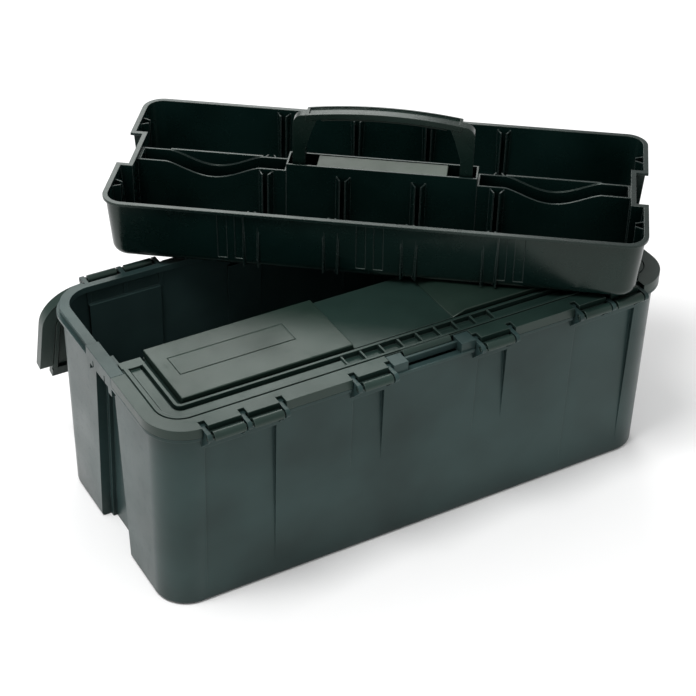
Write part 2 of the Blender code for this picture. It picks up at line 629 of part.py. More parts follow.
def build_lids():
    lid = build_lid_mesh()
    plates = {mirror: build_plate_mesh(mirror, False) for mirror in (-1, 1)}
    front = part("front_lid", lid, LID_PLASTIC, (0, -HINGE_Y, HINGE_Z))
    rear = part("rear_lid", lid, LID_PLASTIC, (0, HINGE_Y, HINGE_Z), (REAR_OPEN, 0, math.pi))
    part("front_left_plate", build_plate_mesh(-1, True), PLATE_PLASTIC, parent=front)
    part("front_right_plate", plates[1], PLATE_PLASTIC, parent=front)
    part("rear_left_plate", plates[1], PLATE_PLASTIC, parent=rear)
    part("rear_right_plate", plates[-1], PLATE_PLASTIC, parent=rear)
    low, high = label_box()
    label = block("label", low, high)
    mesh = shaped(label, [])
    mesh.transform(Matrix.Translation((0, HINGE_Y, -HINGE_Z)))
    part("label_plate", mesh, LABEL_PLASTIC, parent=front)


def build_pins():
    for side, label in ((-1, "front"), (1, "rear")):
        for number, arms in hinge_places():
            pin = pin_along_x("pin", PIN_RADIUS, arms[0] - ARM / 2 - GAP, arms[-1] + ARM / 2 + GAP, 0, 0)
            part(f"{label}_hinge_pin_{number}", shaped(pin, []), PIN_PLASTIC, (0, side * HINGE_Y, HINGE_Z))


# ---- tray ----------------------------------------------------------------------------------
def tray_wall(height, inset):
    share = min(height / TRAY_HEIGHT, 1.0)
    half_x = TRAY_LENGTH / 2 - TRAY_RIM - TRAY_TAPER * (1 - share) - inset
    half_y = TRAY_WIDTH / 2 - TRAY_RIM - TRAY_TAPER * (1 - share) - inset
    return rounded(half_x, half_y, TRAY_CORNER - TRAY_RIM - inset)


def foot_sections(floor, inset):
    """Outlines round the tray's rolled bottom edge."""
    sections = []
    for angle in (0, 30, 60, 90):
        turn = math.radians(angle)
        sections.append((tray_wall(0, inset + TRAY_FOOT_RUN * (1 - math.sin(turn))),
                         floor + TRAY_FOOT * (1 - math.cos(turn))))
    return sections


def notch(end, grow):
    """Recess in one end of the tray, from its rim's line when grow is nought."""
    start = TRAY_LENGTH / 2 - NOTCH_DEPTH - grow
    return block("tray_notch", (end * start, -NOTCH_HALF - grow, -CLEAR),
                 (end * (TRAY_LENGTH / 2 + CLEAR), NOTCH_HALF + grow, TRAY_HEIGHT + CLEAR))


def scoop_outline():
    """The dip in the spine: straight in the middle, with an S curve at each end."""
    top = TRAY_HEIGHT - SPINE_DROP
    points = []
    for step in range(9):
        share = step / 8
        fall = (1 - math.cos(math.pi * share)) / 2
        points.append((-SCOOP_HALF + (SCOOP_HALF - SCOOP_FLAT) * share, top - SCOOP_DEPTH * fall))
    points += [(-x, z) for x, z in reversed(points)]
    return points + [(SCOOP_HALF, top + CLEAR), (-SCOOP_HALF, top + CLEAR)]


def build_tray(parent):
    rim_low = TRAY_HEIGHT - TRAY_RIM_HEIGHT
    outer = loft("tray_outer", foot_sections(0.0, 0.0) + [(tray_wall(TRAY_HEIGHT, 0.0), TRAY_HEIGHT)])
    rim_outline = rounded(TRAY_LENGTH / 2, TRAY_WIDTH / 2, TRAY_CORNER)
    rim = prism("tray_rim", rim_outline, "Z", rim_low, TRAY_HEIGHT)
    rim = solid_of("tray_rim", shaped(rim, [("DIFFERENCE", notch(end, 0.0)) for end in (-1, 1)]))
    steps = [("DIFFERENCE", notch(end, TRAY_RIM)) for end in (-1, 1)] + [("UNION", rim)]
    inner = loft("tray_inner", foot_sections(TRAY_FLOOR, TRAY_WALL)
                 + [(tray_wall(TRAY_HEIGHT, TRAY_WALL), TRAY_HEIGHT + LAP)])
    keep = [("DIFFERENCE", notch(end, TRAY_RIM + TRAY_WALL)) for end in (-1, 1)]
    spine_top = TRAY_HEIGHT - SPINE_DROP
    spine = block("tray_spine", (-HALF_L, -SPINE_HALF, -CLEAR), (HALF_L, SPINE_HALF, spine_top))
    keep.append(("DIFFERENCE", spine))
    for mirror in (-1, 1):
        centre = mirror * SCOOP_CENTRE
        backing = block("tray_backing", (centre - SCOOP_HALF, 0, -CLEAR),
                        (centre + SCOOP_HALF, SPINE_HALF + SCOOP_BACKING, spine_top))
        keep.append(("DIFFERENCE", backing))
    keep.append(("DIFFERENCE", block("tray_housing", (-HOUSING_HALF, -HOUSING_WIDE, -CLEAR),
                                     (HOUSING_HALF, HOUSING_WIDE, TRAY_HEIGHT + CLEAR))))
    cavity = solid_of("tray_cavity", shaped(inner, keep))
    steps.append(("UNION", block("tray_guide", (-HOUSING_HALF, -HOUSING_WIDE, TRAY_FLOOR),
                                 (HOUSING_HALF, HOUSING_WIDE, TRAY_HEIGHT + HOUSING_RISE))))
    steps.append(("DIFFERENCE", cavity))
    spine_end = TRAY_LENGTH / 2 - NOTCH_DEPTH - TRAY_RIM - TRAY_WALL * 2
    for mirror in (-1, 1):
        low, high = sorted((mirror * (HOUSING_HALF + SPINE_WALL), mirror * spine_end))
        half = SPINE_HALF - SPINE_WALL
        steps.append(("DIFFERENCE", block("tray_hollow", (low, -half, TRAY_FLOOR), (high, half, HEIGHT))))
        scoop = prism("tray_scoop", [(x + mirror * SCOOP_CENTRE, z) for x, z in scoop_outline()], "Y",
                      -SPINE_HALF - LAP, SPINE_HALF)
        steps.append(("DIFFERENCE", scoop))
    well = HOUSING_WIDE - HOUSING_WALL
    steps.append(("DIFFERENCE", block("tray_well", (-HOUSING_HALF + HOUSING_WALL, -well, TRAY_FLOOR),
                                      (HOUSING_HALF - HOUSING_WALL, well, HEIGHT))))
    steps += guides()
    return part("tray", shaped(outer, steps), TRAY_PLASTIC, parent=parent)


def guide_outline(place, wall, inward, sign):
    """One rib of a divider guide from above: it leaves the wall and slants towards its pair."""
    root, tip = place + sign * GUIDE_ROOT, place + sign * GUIDE_MOUTH
    end, wall, half = wall + inward * GUIDE_REACH, wall - inward * TRAY_WALL / 2, GUIDE / 2
    return [(root - half, wall), (root + half, wall), (tip + half, end), (tip - half, end)]


def guides():
    """Pairs of upright ribs that hold dividers, on the tray's walls, its spine and its housing."""
    steps = []
    low, top = TRAY_FLOOR - GUIDE / 2, TRAY_HEIGHT - GUIDE_DROP
    spine_top = top - SPINE_DROP + GUIDE_DROP / 2
    wall_x = TRAY_LENGTH / 2 - TRAY_RIM - TRAY_WALL
    wall_y = TRAY_WIDTH / 2 - TRAY_RIM - TRAY_WALL
    for side in (-1, 1):
        for place in [x * mirror for x in GUIDE_PLACES for mirror in (-1, 1)]:
            inner = HOUSING_WIDE if abs(place) < HOUSING_HALF else SPINE_HALF
            for sign in (-1, 1):
                wall = guide_outline(place, side * wall_y, -side, sign)
                spine = guide_outline(place, side * inner, side, sign)
                steps.append(("UNION", prism("tray_rib", wall, "Z", low, top)))
                steps.append(("UNION", prism("tray_rib", spine, "Z", low, spine_top)))
        for end in (-1, 1):
            for sign in (-1, 1):
                plan = guide_outline(side * END_GUIDE_PLACE, end * wall_x, -end, sign)
                steps.append(("UNION", prism("tray_rib", [(x, y) for y, x in plan], "Z", low, top)))
    return steps


def build_seat(parent):
    """Flat bar that closes the housing between the handle's legs."""
    half = HOUSING_WIDE - HOUSING_WALL - GAP
    top = TRAY_HEIGHT + HOUSING_RISE - SEAT_SINK
    seat = block("seat", (-SEAT_HALF, -half, top - SEAT_HEIGHT), (SEAT_HALF, half, top))
    part("handle_seat", shaped(seat, []), SEAT_PLASTIC, parent=parent)


# ---- handle --------------------------------------------------------------------------------
def arch(x, height):
    """Height of a curve parallel to the grip's top, at x from the middle."""
    return TRAY_HEIGHT + height - HANDLE_ARCH * (x / ARCH_HALF) ** 2


def handle_outline():
    """Handle from the front: arched grip, two legs and a gusset at the top of each leg."""
    steps = 12
    corner = HANDLE_CORNER
    left = -HANDLE_HALF
    leg_foot = TRAY_HEIGHT + HOUSING_RISE - LEG_IN
    points = []
    for index in range(steps + 1):
        x = (HANDLE_HALF - corner) * (1 - 2 * index / steps)
        points.append((x, arch(x, HANDLE_TOP)))
    shoulder = arch(HANDLE_HALF - corner, HANDLE_TOP) - corner
    for index in range(1, 5):
        angle = math.radians(90 + 90 * index / 4)
        points.append((left + corner + corner * math.cos(angle), shoulder + corner * math.sin(angle)))
    leg_in = left + LEG_WIDE
    underside = arch(leg_in + GUSSET_RUN, HANDLE_TOP - GRIP_THICK)
    points += [(left, leg_foot), (leg_in, leg_foot), (leg_in, underside - GUSSET_FALL),
               (leg_in + GUSSET_RUN / 2, underside - GUSSET_BEND)]
    half_points = 6
    for index in range(half_points + 1):
        x = (leg_in + GUSSET_RUN) * (1 - index / half_points)
        points.append((x, arch(x, HANDLE_TOP - GRIP_THICK)))
    right = [(-x, z) for x, z in reversed(points[steps + 1:-1])]
    return points + right


def strip(name, half, high, low, front, back):
    """A curved strip of the handle between two depths below the line of its top."""
    xs = np.linspace(-half, half, 13)
    outline = [(x, arch(x, high)) for x in xs] + [(x, arch(x, low)) for x in xs[::-1]]
    return prism(name, outline, "Y", front, back)


def build_handle(parent):
    legs = prism("handle_legs", handle_outline(), "Y", -LEG_THICK / 2, LEG_THICK / 2)
    grip = strip("handle_grip", HANDLE_HALF - LEG_WIDE, HANDLE_TOP + INSIDE,
                 HANDLE_TOP - GRIP_THICK - INSIDE, -GRIP_FRONT, GRIP_BACK)
    handle = part("tray_handle", shaped(legs, [("UNION", grip)]), HANDLE_PLASTIC, parent=parent)
    top_gap = HANDLE_TOP - GRIP_THICK - 3 * GAP
    half = INSERT_WIDE / 2
    insert = strip("insert", INSERT_HALF, top_gap, top_gap - INSERT_THICK, -half, half)
    part("grip_insert", shaped(insert, []), INSERT_PLASTIC, parent=handle)


def build_tray_set():
    place = bpy.data.objects.new("tray_place", None)
    place.location = (*TRAY_PLACE, TRAY_Z)
    place.rotation_euler = (0, 0, TRAY_YAW)
    PARTS.objects.link(place)
    build_tray(place)
    build_seat(place)
    build_handle(place)


clear_scene()
PARTS = collection("tool_box")
CUTTERS = collection("cutters")
TUB_PLASTIC = material("tub_plastic", (0.036, 0.046, 0.043), 0.42)
LID_PLASTIC = material("lid_plastic", (0.042, 0.052, 0.049), 0.40)
PLATE_PLASTIC = material("plate_plastic", (0.045, 0.055, 0.052), 0.38)
PIN_PLASTIC = material("pin_plastic", (0.030, 0.038, 0.036), 0.35)
LABEL_PLASTIC = material("label_plastic", (0.038, 0.046, 0.044), 0.30)
TRAY_PLASTIC = material("tray_plastic", (0.030, 0.040, 0.037), 0.34)
HANDLE_PLASTIC = material("handle_plastic", (0.034, 0.043, 0.040), 0.34)
SEAT_PLASTIC = material("seat_plastic", (0.060, 0.070, 0.066), 0.36)
INSERT_PLASTIC = material("insert_plastic", (0.020, 0.028, 0.026), 0.45)
build_tub()
build_pins()
build_lids()
build_tray_set()
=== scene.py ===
import json
import math

import bmesh
import bpy
import numpy as np
from mathutils import Matrix, Vector


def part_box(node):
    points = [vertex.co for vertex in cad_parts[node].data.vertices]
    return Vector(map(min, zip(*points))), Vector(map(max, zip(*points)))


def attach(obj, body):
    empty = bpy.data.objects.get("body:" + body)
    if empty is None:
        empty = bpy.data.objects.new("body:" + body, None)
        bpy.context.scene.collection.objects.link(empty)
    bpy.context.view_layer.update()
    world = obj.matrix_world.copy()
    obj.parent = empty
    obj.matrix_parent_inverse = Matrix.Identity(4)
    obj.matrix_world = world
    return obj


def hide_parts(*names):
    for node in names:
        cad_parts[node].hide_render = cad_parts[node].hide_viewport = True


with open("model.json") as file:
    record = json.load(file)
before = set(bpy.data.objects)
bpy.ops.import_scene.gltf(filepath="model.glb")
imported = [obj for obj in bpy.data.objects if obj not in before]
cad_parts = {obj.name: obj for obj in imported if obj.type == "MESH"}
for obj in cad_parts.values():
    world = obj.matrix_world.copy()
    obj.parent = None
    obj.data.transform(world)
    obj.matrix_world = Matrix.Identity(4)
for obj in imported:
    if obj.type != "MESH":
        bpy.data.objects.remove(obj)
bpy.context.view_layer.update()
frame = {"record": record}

# ---- sizes that come from the frame --------------------------------------------------------
TUB_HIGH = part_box("tub")[1]
PLATE_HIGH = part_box("front_left_plate")[1]
TRAY_LOW, TRAY_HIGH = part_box("tray")
LABEL_LOW, LABEL_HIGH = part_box("label_plate")
PIN_LOW, PIN_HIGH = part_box("front_hinge_pin_4")
JOINTS = {joint["name"]: joint for joint in frame["record"]["behaviour"]["joints"]}
HINGE_AXIS = JOINTS["front_lid_hinge"]["pos_m"]

HALF_L = TUB_HIGH[0]
PLATE_RISE = 0.0035
HEIGHT = PLATE_HIGH[2] - PLATE_RISE
HINGE_Y = -HINGE_AXIS[1]
HINGE_Z = HINGE_AXIS[2]
HINGE_OUT = 0.0055
HALF_W = HINGE_Y - HINGE_OUT
GAP = 0.0003
PIN_RADIUS = (PIN_HIGH[2] - PIN_LOW[2]) / 2

# ---- tub -----------------------------------------------------------------------------------
CORNER_RADIUS = 0.040
RIM_OVERHANG = 0.0055
WALL = 0.0028
FLOOR = 0.0032
FOOT_RADIUS = 0.004
SIDE_TAPER = 0.005
RIM_WIDTH = 0.0125
BORE_SIDES = 24
LIP_BOTTOM = 0.0125
LIP_TOP = 0.0098
CORNER_TAPER = 0.0025
OUTER_PANEL_FOOT = 0.014
INNER_PANEL_FOOT = 0.098
BULGE = WALL * 0.8
CHANNEL_DEPTH = 0.0133
CHANNEL_STEP = 0.0040
CHANNEL_LEDGE = 0.0050
CHANNEL_HALF_TOP = 0.020
CHANNEL_HALF_FLOOR = 0.034
CHANNEL_BELOW_LIP = 0.0025
PANEL_DEPTH = 0.0046
PANEL_TOP = 0.0270
BRIDGE_HALF = 0.028
BRIDGE_DROP = 0.0003
BRIDGE_SKIRT = 0.0210
SLOT_OFFSET = 0.0125
SLOT_SIZE = (0.0017, 0.0090)
SLOT_DEPTH = 0.0022
SLOT_FOOT = 0.004
BRIDGE_DEPTH = 0.004
LAP = 0.001

# ---- lids and hinges -----------------------------------------------------------------------
FLANGE = 0.003
SKIRT = 0.0024
SKIRT_DEPTH = 0.0095
TAB_SETBACK = 0.0055
DECK_DROP = 0.005
DECK = 0.0025
LEDGE_DROP = 0.002
RIB_RISE = 0.0005
TAB_LENGTH = 0.0115
END_BAND = (0.0133, 0.0185, 0.0200, 0.0295, 0.0320, 0.0350)
SIDE_BAND = (0.0180, 0.0217, 0.0232, 0.0325, 0.0360, 0.0388)
OUTER_GROOVE_DROP = 0.0034
PLATE_END = 0.0400
PLATE_SIDE = 0.0420
PLATE_WALL = 0.0020
PLATE_LEAN = 0.0135
PLATE_DRAFT = 0.001
MIDDLE_SLOPED = 0.0435
MIDDLE_STEEP = 0.0600
MIDDLE_DROP = 0.0013
RUNG_PITCH = 0.0194
RUNG_COUNT = 9
RUNG = 0.0018
RUNG_FOOT = 0.0005
GRIP_HALF = 0.028
GRIP_SIDE = 0.0435
GRIP_EDGE = 0.0015
GRIP_BACK_WALL = 0.0027
GRIP_FLOOR = 0.0113
POST_DEPTH = 0.0168
POST_DROP = 0.0005
GRIP_LIP_REACH = 0.0050
GRIP_LIP_FALL = 0.0062
GRIP_LIP = 0.0016
LABEL_SINK = 0.0009
FINE_GROOVE = 0.0012
KNUCKLE = 0.0023
HOOK_SIDE = 0.0015
HOOK_SETBACK = 0.0015
APRON = (0.0018, 0.0038)
APRON_DROP = 0.0044
WEB = (-0.0012, 0.0028)
WEB_DROP = 0.0041
WEB_RISE = 0.0012
ARM_SLOT_SIDE = 0.001
EDGE_GAP = 0.0005
DECK_LAP = 0.004
ARM = 0.004
ARM_RADIUS = 0.0042
ARM_REACH_IN = 0.0150
ARM_TURN = 234
GUSSET_CHAMFER = 0.003
GUSSET_DROP = 0.0175
HINGE_SETBACK = 0.0065
HOOK_ROOM = 0.0007
ARM_SLOT_DEPTH = 0.0098
OUTER_ARMS = (0.1540, 0.1905, 0.2280)
INNER_ARMS = (0.0455, 0.0825)
HOOK_OPEN = (math.radians(200), math.radians(285))
REAR_OPEN = math.radians(JOINTS["rear_lid_hinge"]["range_deg"][1])

# ---- tray and handle -----------------------------------------------------------------------
TRAY_YAW = math.radians(-36.9)
TRAY_HEIGHT = 0.0615
TRAY_LENGTH = 0.511
TRAY_WIDTH = 0.213
TRAY_PLACE = ((TRAY_LOW[0] + TRAY_HIGH[0]) / 2, (TRAY_LOW[1] + TRAY_HIGH[1]) / 2, TRAY_LOW[2])
TRAY_CORNER = 0.021
TRAY_WALL = 0.0022
TRAY_FLOOR = 0.0024
TRAY_TAPER = 0.0035
TRAY_FOOT = 0.009
TRAY_FOOT_RUN = 0.0072
TRAY_RIM = 0.0026
TRAY_RIM_HEIGHT = 0.0028
NOTCH_DEPTH = 0.0120
NOTCH_HALF = 0.0295
SPINE_HALF = 0.0121
SPINE_WALL = 0.0018
SPINE_DROP = 0.0048
SCOOP_CENTRE = 0.165
SCOOP_HALF = 0.046
SCOOP_DEPTH = 0.0135
SCOOP_FULLNESS = 1.35
SCOOP_BACKING = 0.0022
HOUSING_HALF = 0.0925
HOUSING_WIDE = 0.0128
HOUSING_WALL = 0.0018
HOUSING_RISE = 0.0030
SEAT_HALF = 0.063
SEAT_HEIGHT = 0.008
SEAT_SINK = 0.0006
GUIDE_PLACES = (0.0365, 0.112)
END_GUIDE_PLACE = 0.062
GUIDE_MOUTH = 0.0028
GUIDE_ROOT = 0.0070
GUIDE = 0.0014
GUIDE_REACH = 0.0075
GUIDE_DROP = 0.0035
FLUTE_PLACES = (-0.131, 0.0, 0.131)
FLUTE_SPACING = 0.0165
FLUTE_HALF = 0.0045
FLUTE_DEPTH = 0.0011
FLUTE_DROP = 0.0035
FLUTE_RUN_OUT = 0.004
HANDLE_HALF = 0.0872
HANDLE_TOP = 0.0590
ARCH_HALF = 0.064
HANDLE_ARCH = 0.004125
HANDLE_CORNER = 0.010
GRIP_THICK = 0.0052
GRIP_FRONT = 0.0055
GRIP_BACK = 0.0115
GRIP_GROOVE = 0.0014
LEG_WIDE = 0.0125
LEG_THICK = 0.010
LEG_IN = 0.018
GUSSET_RUN = 0.011
GUSSET_FALL = 0.032
GUSSET_BEND = 0.012
GUSSET_SHARE = 0.55
INSERT_HALF = 0.060
INSERT_THICK = 0.0018
INSERT_WIDE = 0.009

# ---- camera and light ----------------------------------------------------------------------
CAMERA_AZIMUTH = math.radians(-30.27)
CAMERA_ELEVATION = math.radians(35.45)
CAMERA_ROLL = math.radians(1.237)
CAMERA_PLACE = (-0.7301, -1.2249, 1.1453)
CAMERA_LENS = 93.67
WORLD_STRENGTH = 0.66
FINE_ROUND = 0.00012
TRAY_ROUND = 0.0002
LABEL_ROUND = 0.0002
ROD_ROUND = 0.0006
COVER_ROUND = 0.0008
SPECULAR_TINT = (0.86, 1.0, 0.90, 1.0)

CORNER_STEPS = 14
HALF_GAP = -PLATE_HIGH[1] - GAP
RIM_INSET = SKIRT + 2 * GAP
RIM_TOP = HEIGHT - FLANGE - GAP
DECK_TOP = HEIGHT - DECK_DROP
DECK_BOTTOM = DECK_TOP - DECK
PLATE_FRONT = HALF_W - PLATE_SIDE
WALL_TOP_L = HALF_L - RIM_OVERHANG
WALL_TOP_W = HALF_W - RIM_OVERHANG
WELD = 0.000005
CLEAR = 0.01
FOOT_CLEAR = 0.003
INSIDE = 0.0003


# ---- construction solids -------------------------------------------------------------------
def solid(name, bm):
    """A construction solid, which a Boolean uses up."""
    bmesh.ops.recalc_face_normals(bm, faces=bm.faces)
    mesh = bpy.data.meshes.new(name)
    bm.to_mesh(mesh)
    bm.free()
    obj = bpy.data.objects.new(name, mesh)
    obj.hide_render = True
    bpy.context.scene.collection.objects.link(obj)
    return obj


def solid_of(name, mesh):
    obj = bpy.data.objects.new(name, mesh)
    obj.hide_render = True
    bpy.context.scene.collection.objects.link(obj)
    return obj


def block(name, corner, opposite):
    bm = bmesh.new()
    bmesh.ops.create_cube(bm, size=1.0)
    for vert in bm.verts:
        vert.co = [max(a, b) if at > 0 else min(a, b) for at, a, b in zip(vert.co, corner, opposite)]
    return solid(name, bm)


def prism(name, outline, axis, start, end):
    """Extrude a closed outline along an axis. Outline points are (y, z), (x, z) or (x, y)."""
    column = "XYZ".index(axis)
    bm = bmesh.new()
    corners = []
    for point in outline:
        place = list(point)
        place.insert(column, start)
        corners.append(bm.verts.new(place))
    extruded = bmesh.ops.extrude_face_region(bm, geom=[bm.faces.new(corners)])
    for item in extruded["geom"]:
        if isinstance(item, bmesh.types.BMVert):
            item.co[column] = end
    return solid(name, bm)


def arc(centre_x, centre_y, radius, start, turn=90, steps=CORNER_STEPS):
    angles = [math.radians(start + turn * step / steps) for step in range(steps + 1)]
    return [(centre_x + radius * math.cos(a), centre_y + radius * math.sin(a)) for a in angles]


def rounded(half_x, half_y, radius):
    """Outline of a rounded rectangle, anticlockwise from its +X side."""
    x, y = half_x - radius, half_y - radius
    return arc(x, y, radius, 0) + arc(-x, y, radius, 90) + arc(-x, -y, radius, 180) + arc(x, -y, radius, 270)


def loft(name, sections):
    """A closed solid through outlines that have the same number of points, low to high."""
    bm = bmesh.new()
    rings = [[bm.verts.new((x, y, z)) for x, y in outline] for outline, z in sections]
    bm.faces.new(list(reversed(rings[0])))
    bm.faces.new(rings[-1])
    count = len(rings[0])
    for lower, upper in zip(rings, rings[1:]):
        for index in range(count):
            after = (index + 1) % count
            bm.faces.new((lower[index], lower[after], upper[after], upper[index]))
    return solid(name, bm)


def side_path(half_x, half_y, radius, back):
    """Open path round the front of a rounded rectangle, from -X to +X, ending at y = back."""
    x, y = half_x - radius, half_y - radius
    return [(-half_x, back)] + arc(-x, -y, radius, 180) + arc(x, -y, radius, 270) + [(half_x, back)]


def inset_path(end, side, back):
    """The lid's own path, inset by end at its ends and by side along its long side."""
    radius = max(CORNER_RADIUS - (end + side) / 2, 0.004)
    return side_path(HALF_L - end, HALF_W - side, radius, back)


def band(name, outer, inner, low, high):
    return prism(name, outer + list(reversed(inner)), "Z", low, high)


def rod(name, radius, start, end, y, z, sides=32):
    bm = bmesh.new()
    bmesh.ops.create_cone(bm, cap_ends=True, segments=sides, radius1=radius, radius2=radius,
                          depth=end - start)
    bmesh.ops.rotate(bm, matrix=Matrix.Rotation(math.pi / 2, 3, "Y"), verts=bm.verts)
    bmesh.ops.translate(bm, vec=((start + end) / 2, y, z), verts=bm.verts)
    return solid(name, bm)


def welded(mesh, flatten=False):
    bm = bmesh.new()
    bm.from_mesh(mesh)
    bmesh.ops.remove_doubles(bm, verts=bm.verts, dist=WELD)
    if flatten:
        bmesh.ops.dissolve_limit(bm, angle_limit=math.radians(0.05), verts=bm.verts, edges=bm.edges)
    bm.to_mesh(mesh)
    bm.free()
    return mesh


def shaped(base, steps):
    """Apply Boolean steps in turn, each ("UNION" or "DIFFERENCE", solid), and return the mesh."""
    for operation, other in steps:
        modifier = base.modifiers.new("shape", "BOOLEAN")
        modifier.operation = operation
        modifier.solver = "EXACT"
        modifier.object = other
        bpy.context.view_layer.update()
        evaluated = base.evaluated_get(bpy.context.evaluated_depsgraph_get())
        mesh = bpy.data.meshes.new_from_object(evaluated)
        base.modifiers.clear()
        base.data = welded(mesh)
        bpy.data.objects.remove(other, do_unlink=True)
    mesh = base.data
    bpy.data.objects.remove(base, do_unlink=True)
    return welded(mesh, flatten=True)


def piece(name, mesh, finish, body, nodes, round_by=0.0005, place=None):
    """A visible piece: rounded edges, its finish, the body it rides on and the nodes it stands for."""
    mesh = mesh.copy()
    mesh.materials.clear()
    mesh.materials.append(finish)
    if place is not None:
        mesh.transform(place)
    obj = bpy.data.objects.new(name, mesh)
    bpy.context.scene.collection.objects.link(obj)
    if round_by:
        bevel = obj.modifiers.new("rounded_edges", "BEVEL")
        bevel.width = round_by
        bevel.segments = 2
        bevel.limit_method = "ANGLE"
        bevel.angle_limit = math.radians(35)
        bevel.use_clamp_overlap = False
    mesh.shade_smooth()
    mesh.set_sharp_from_angle(angle=math.radians(32))
    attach(obj, body)
    if nodes:
        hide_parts(*nodes)
    return obj


# ---- finishes ------------------------------------------------------------------------------
def moulded_plastic(name, colour, roughness, grain, waviness, edge_wear_and_highlight, sheen=0.42, wear_and_highlight_lift=0.012):
    """Injection-moulded plastic: fine grain, slow sink marks, cloudy gloss, paler edges that are partly wear and
    partly painted highlight, and painted shade that darkens the colour and dims the sheen where ambient occlusion
    is low.
    """
    made = bpy.data.materials.new(name)
    made.use_nodes = True
    nodes, links = made.node_tree.nodes, made.node_tree.links
    shader = nodes["Principled BSDF"]
    shader.inputs["IOR"].default_value = 1.5
    shader.inputs["Specular IOR Level"].default_value = sheen
    shader.inputs["Specular Tint"].default_value = SPECULAR_TINT
    place = nodes.new("ShaderNodeTexCoord")

    def noise(scale, detail, rough=0.5):
        node = nodes.new("ShaderNodeTexNoise")
        node.inputs["Scale"].default_value = scale
        node.inputs["Detail"].default_value = detail
        node.inputs["Roughness"].default_value = rough
        links.new(place.outputs["Object"], node.inputs["Vector"])
        return node.outputs["Fac"]

    def ramp(source, low, high, low_value, high_value):
        node = nodes.new("ShaderNodeMapRange")
        node.inputs["From Min"].default_value = low
        node.inputs["From Max"].default_value = high
        node.inputs["To Min"].default_value = low_value
        node.inputs["To Max"].default_value = high_value
        links.new(source, node.inputs["Value"])
        return node.outputs["Result"]

    def mixed(factor, first, second):
        node = nodes.new("ShaderNodeMix")
        node.data_type = "RGBA"
        links.new(factor, node.inputs["Factor"])
        for socket, value in zip((6, 7), (first, second)):
            if isinstance(value, tuple):
                node.inputs[socket].default_value = (*value, 1.0)
            else:
                links.new(value, node.inputs[socket])
        return node.outputs[2]

    paler = tuple(channel * 1.35 + 0.002 for channel in colour)
    darker = tuple(channel * 0.78 for channel in colour)
    flow = ramp(noise(9.0, 3.0), 0.35, 0.65, 0.0, 1.0)
    body = mixed(flow, darker, paler)
    softened = nodes.new("ShaderNodeBevel")
    softened.samples = 4
    softened.inputs["Radius"].default_value = 0.0007
    surface = nodes.new("ShaderNodeNewGeometry")
    turn = nodes.new("ShaderNodeVectorMath")
    turn.operation = "DOT_PRODUCT"
    links.new(softened.outputs["Normal"], turn.inputs[0])
    links.new(surface.outputs["Normal"], turn.inputs[1])
    # Paler edges: partly wear, partly a painted highlight standing in for light caught by the rounded edges.
    edge = ramp(turn.outputs["Value"], 0.99, 0.80, 0.0, edge_wear_and_highlight)
    wear_and_highlight = mixed(edge, body, tuple(channel * 2.0 + wear_and_highlight_lift for channel in colour))
    # Painted shade: where ambient occlusion finds the surface hemmed in, the colour is pulled to near black and
    # the sheen is dimmed.
    shade = nodes.new("ShaderNodeAmbientOcclusion")
    shade.samples = 4
    shade.inputs["Distance"].default_value = 0.09
    depth = ramp(shade.outputs["AO"], 0.06, 0.42, 0.0, 1.0)
    links.new(mixed(depth, (0.0, 0.0002, 0.0002), wear_and_highlight), shader.inputs["Base Color"])
    sheen_dimmed_in_painted_shade = ramp(shade.outputs["AO"], 0.06, 0.42, sheen * 0.2, sheen)
    links.new(sheen_dimmed_in_painted_shade, shader.inputs["Specular IOR Level"])

    scuff = ramp(noise(140.0, 5.0, 0.65), 0.55, 0.80, 0.0, 0.10)
    cloud = ramp(noise(22.0, 2.0), 0.3, 0.7, roughness - 0.035, roughness + 0.045)
    gloss = nodes.new("ShaderNodeMath")
    gloss.operation = "ADD"
    links.new(scuff, gloss.inputs[0])
    links.new(cloud, gloss.inputs[1])
    links.new(gloss.outputs["Value"], shader.inputs["Roughness"])

    slow = nodes.new("ShaderNodeBump")
    slow.inputs["Strength"].default_value = waviness
    slow.inputs["Distance"].default_value = 0.0012
    links.new(noise(16.0, 1.0), slow.inputs["Height"])
    links.new(softened.outputs["Normal"], slow.inputs["Normal"])
    fine = nodes.new("ShaderNodeBump")
    fine.inputs["Strength"].default_value = grain
    fine.inputs["Distance"].default_value = 0.00012
    links.new(noise(1500.0, 3.0, 0.6), fine.inputs["Height"])
    links.new(slow.outputs["Normal"], fine.inputs["Normal"])
    links.new(fine.outputs["Normal"], shader.inputs["Normal"])
    return made


# ---- tub -----------------------------------------------------------------------------------
def tub_wall(height, inset):
    share = min(height / (HEIGHT - LIP_BOTTOM), 1.0)
    half_y = WALL_TOP_W - SIDE_TAPER * (1 - share)
    radius = CORNER_RADIUS - RIM_OVERHANG - CORNER_TAPER * (1 - share)
    return rounded(WALL_TOP_L - inset, half_y - inset, radius - inset)


def foot_ring(floor, inset, radius):
    """Outlines round a rolled bottom edge."""
    rings = []
    for angle in (0, 22.5, 45, 67.5, 90):
        turn = math.radians(angle)
        ring = tub_wall(0, inset + radius * (1 - math.sin(turn)))
        rings.append((ring, floor + radius * (1 - math.cos(turn))))
    return rings


def channel(name, end, grow):
    top = HEIGHT - LIP_BOTTOM - CHANNEL_BELOW_LIP + grow
    pieces = []
    for label, depth, ledge in (("wide", CHANNEL_DEPTH - CHANNEL_STEP, 0.0),
                                ("deep", CHANNEL_DEPTH, CHANNEL_LEDGE)):
        low = CHANNEL_HALF_FLOOR - ledge + grow
        high = CHANNEL_HALF_TOP - ledge + grow
        outline = [(-low, -FOOT_CLEAR), (low, -FOOT_CLEAR), (high, top), (-high, top)]
        start, stop = WALL_TOP_L - depth - grow, HALF_L + CLEAR
        pieces.append(prism(f"{name}_{label}", outline, "X", end * start, end * stop))
    return pieces


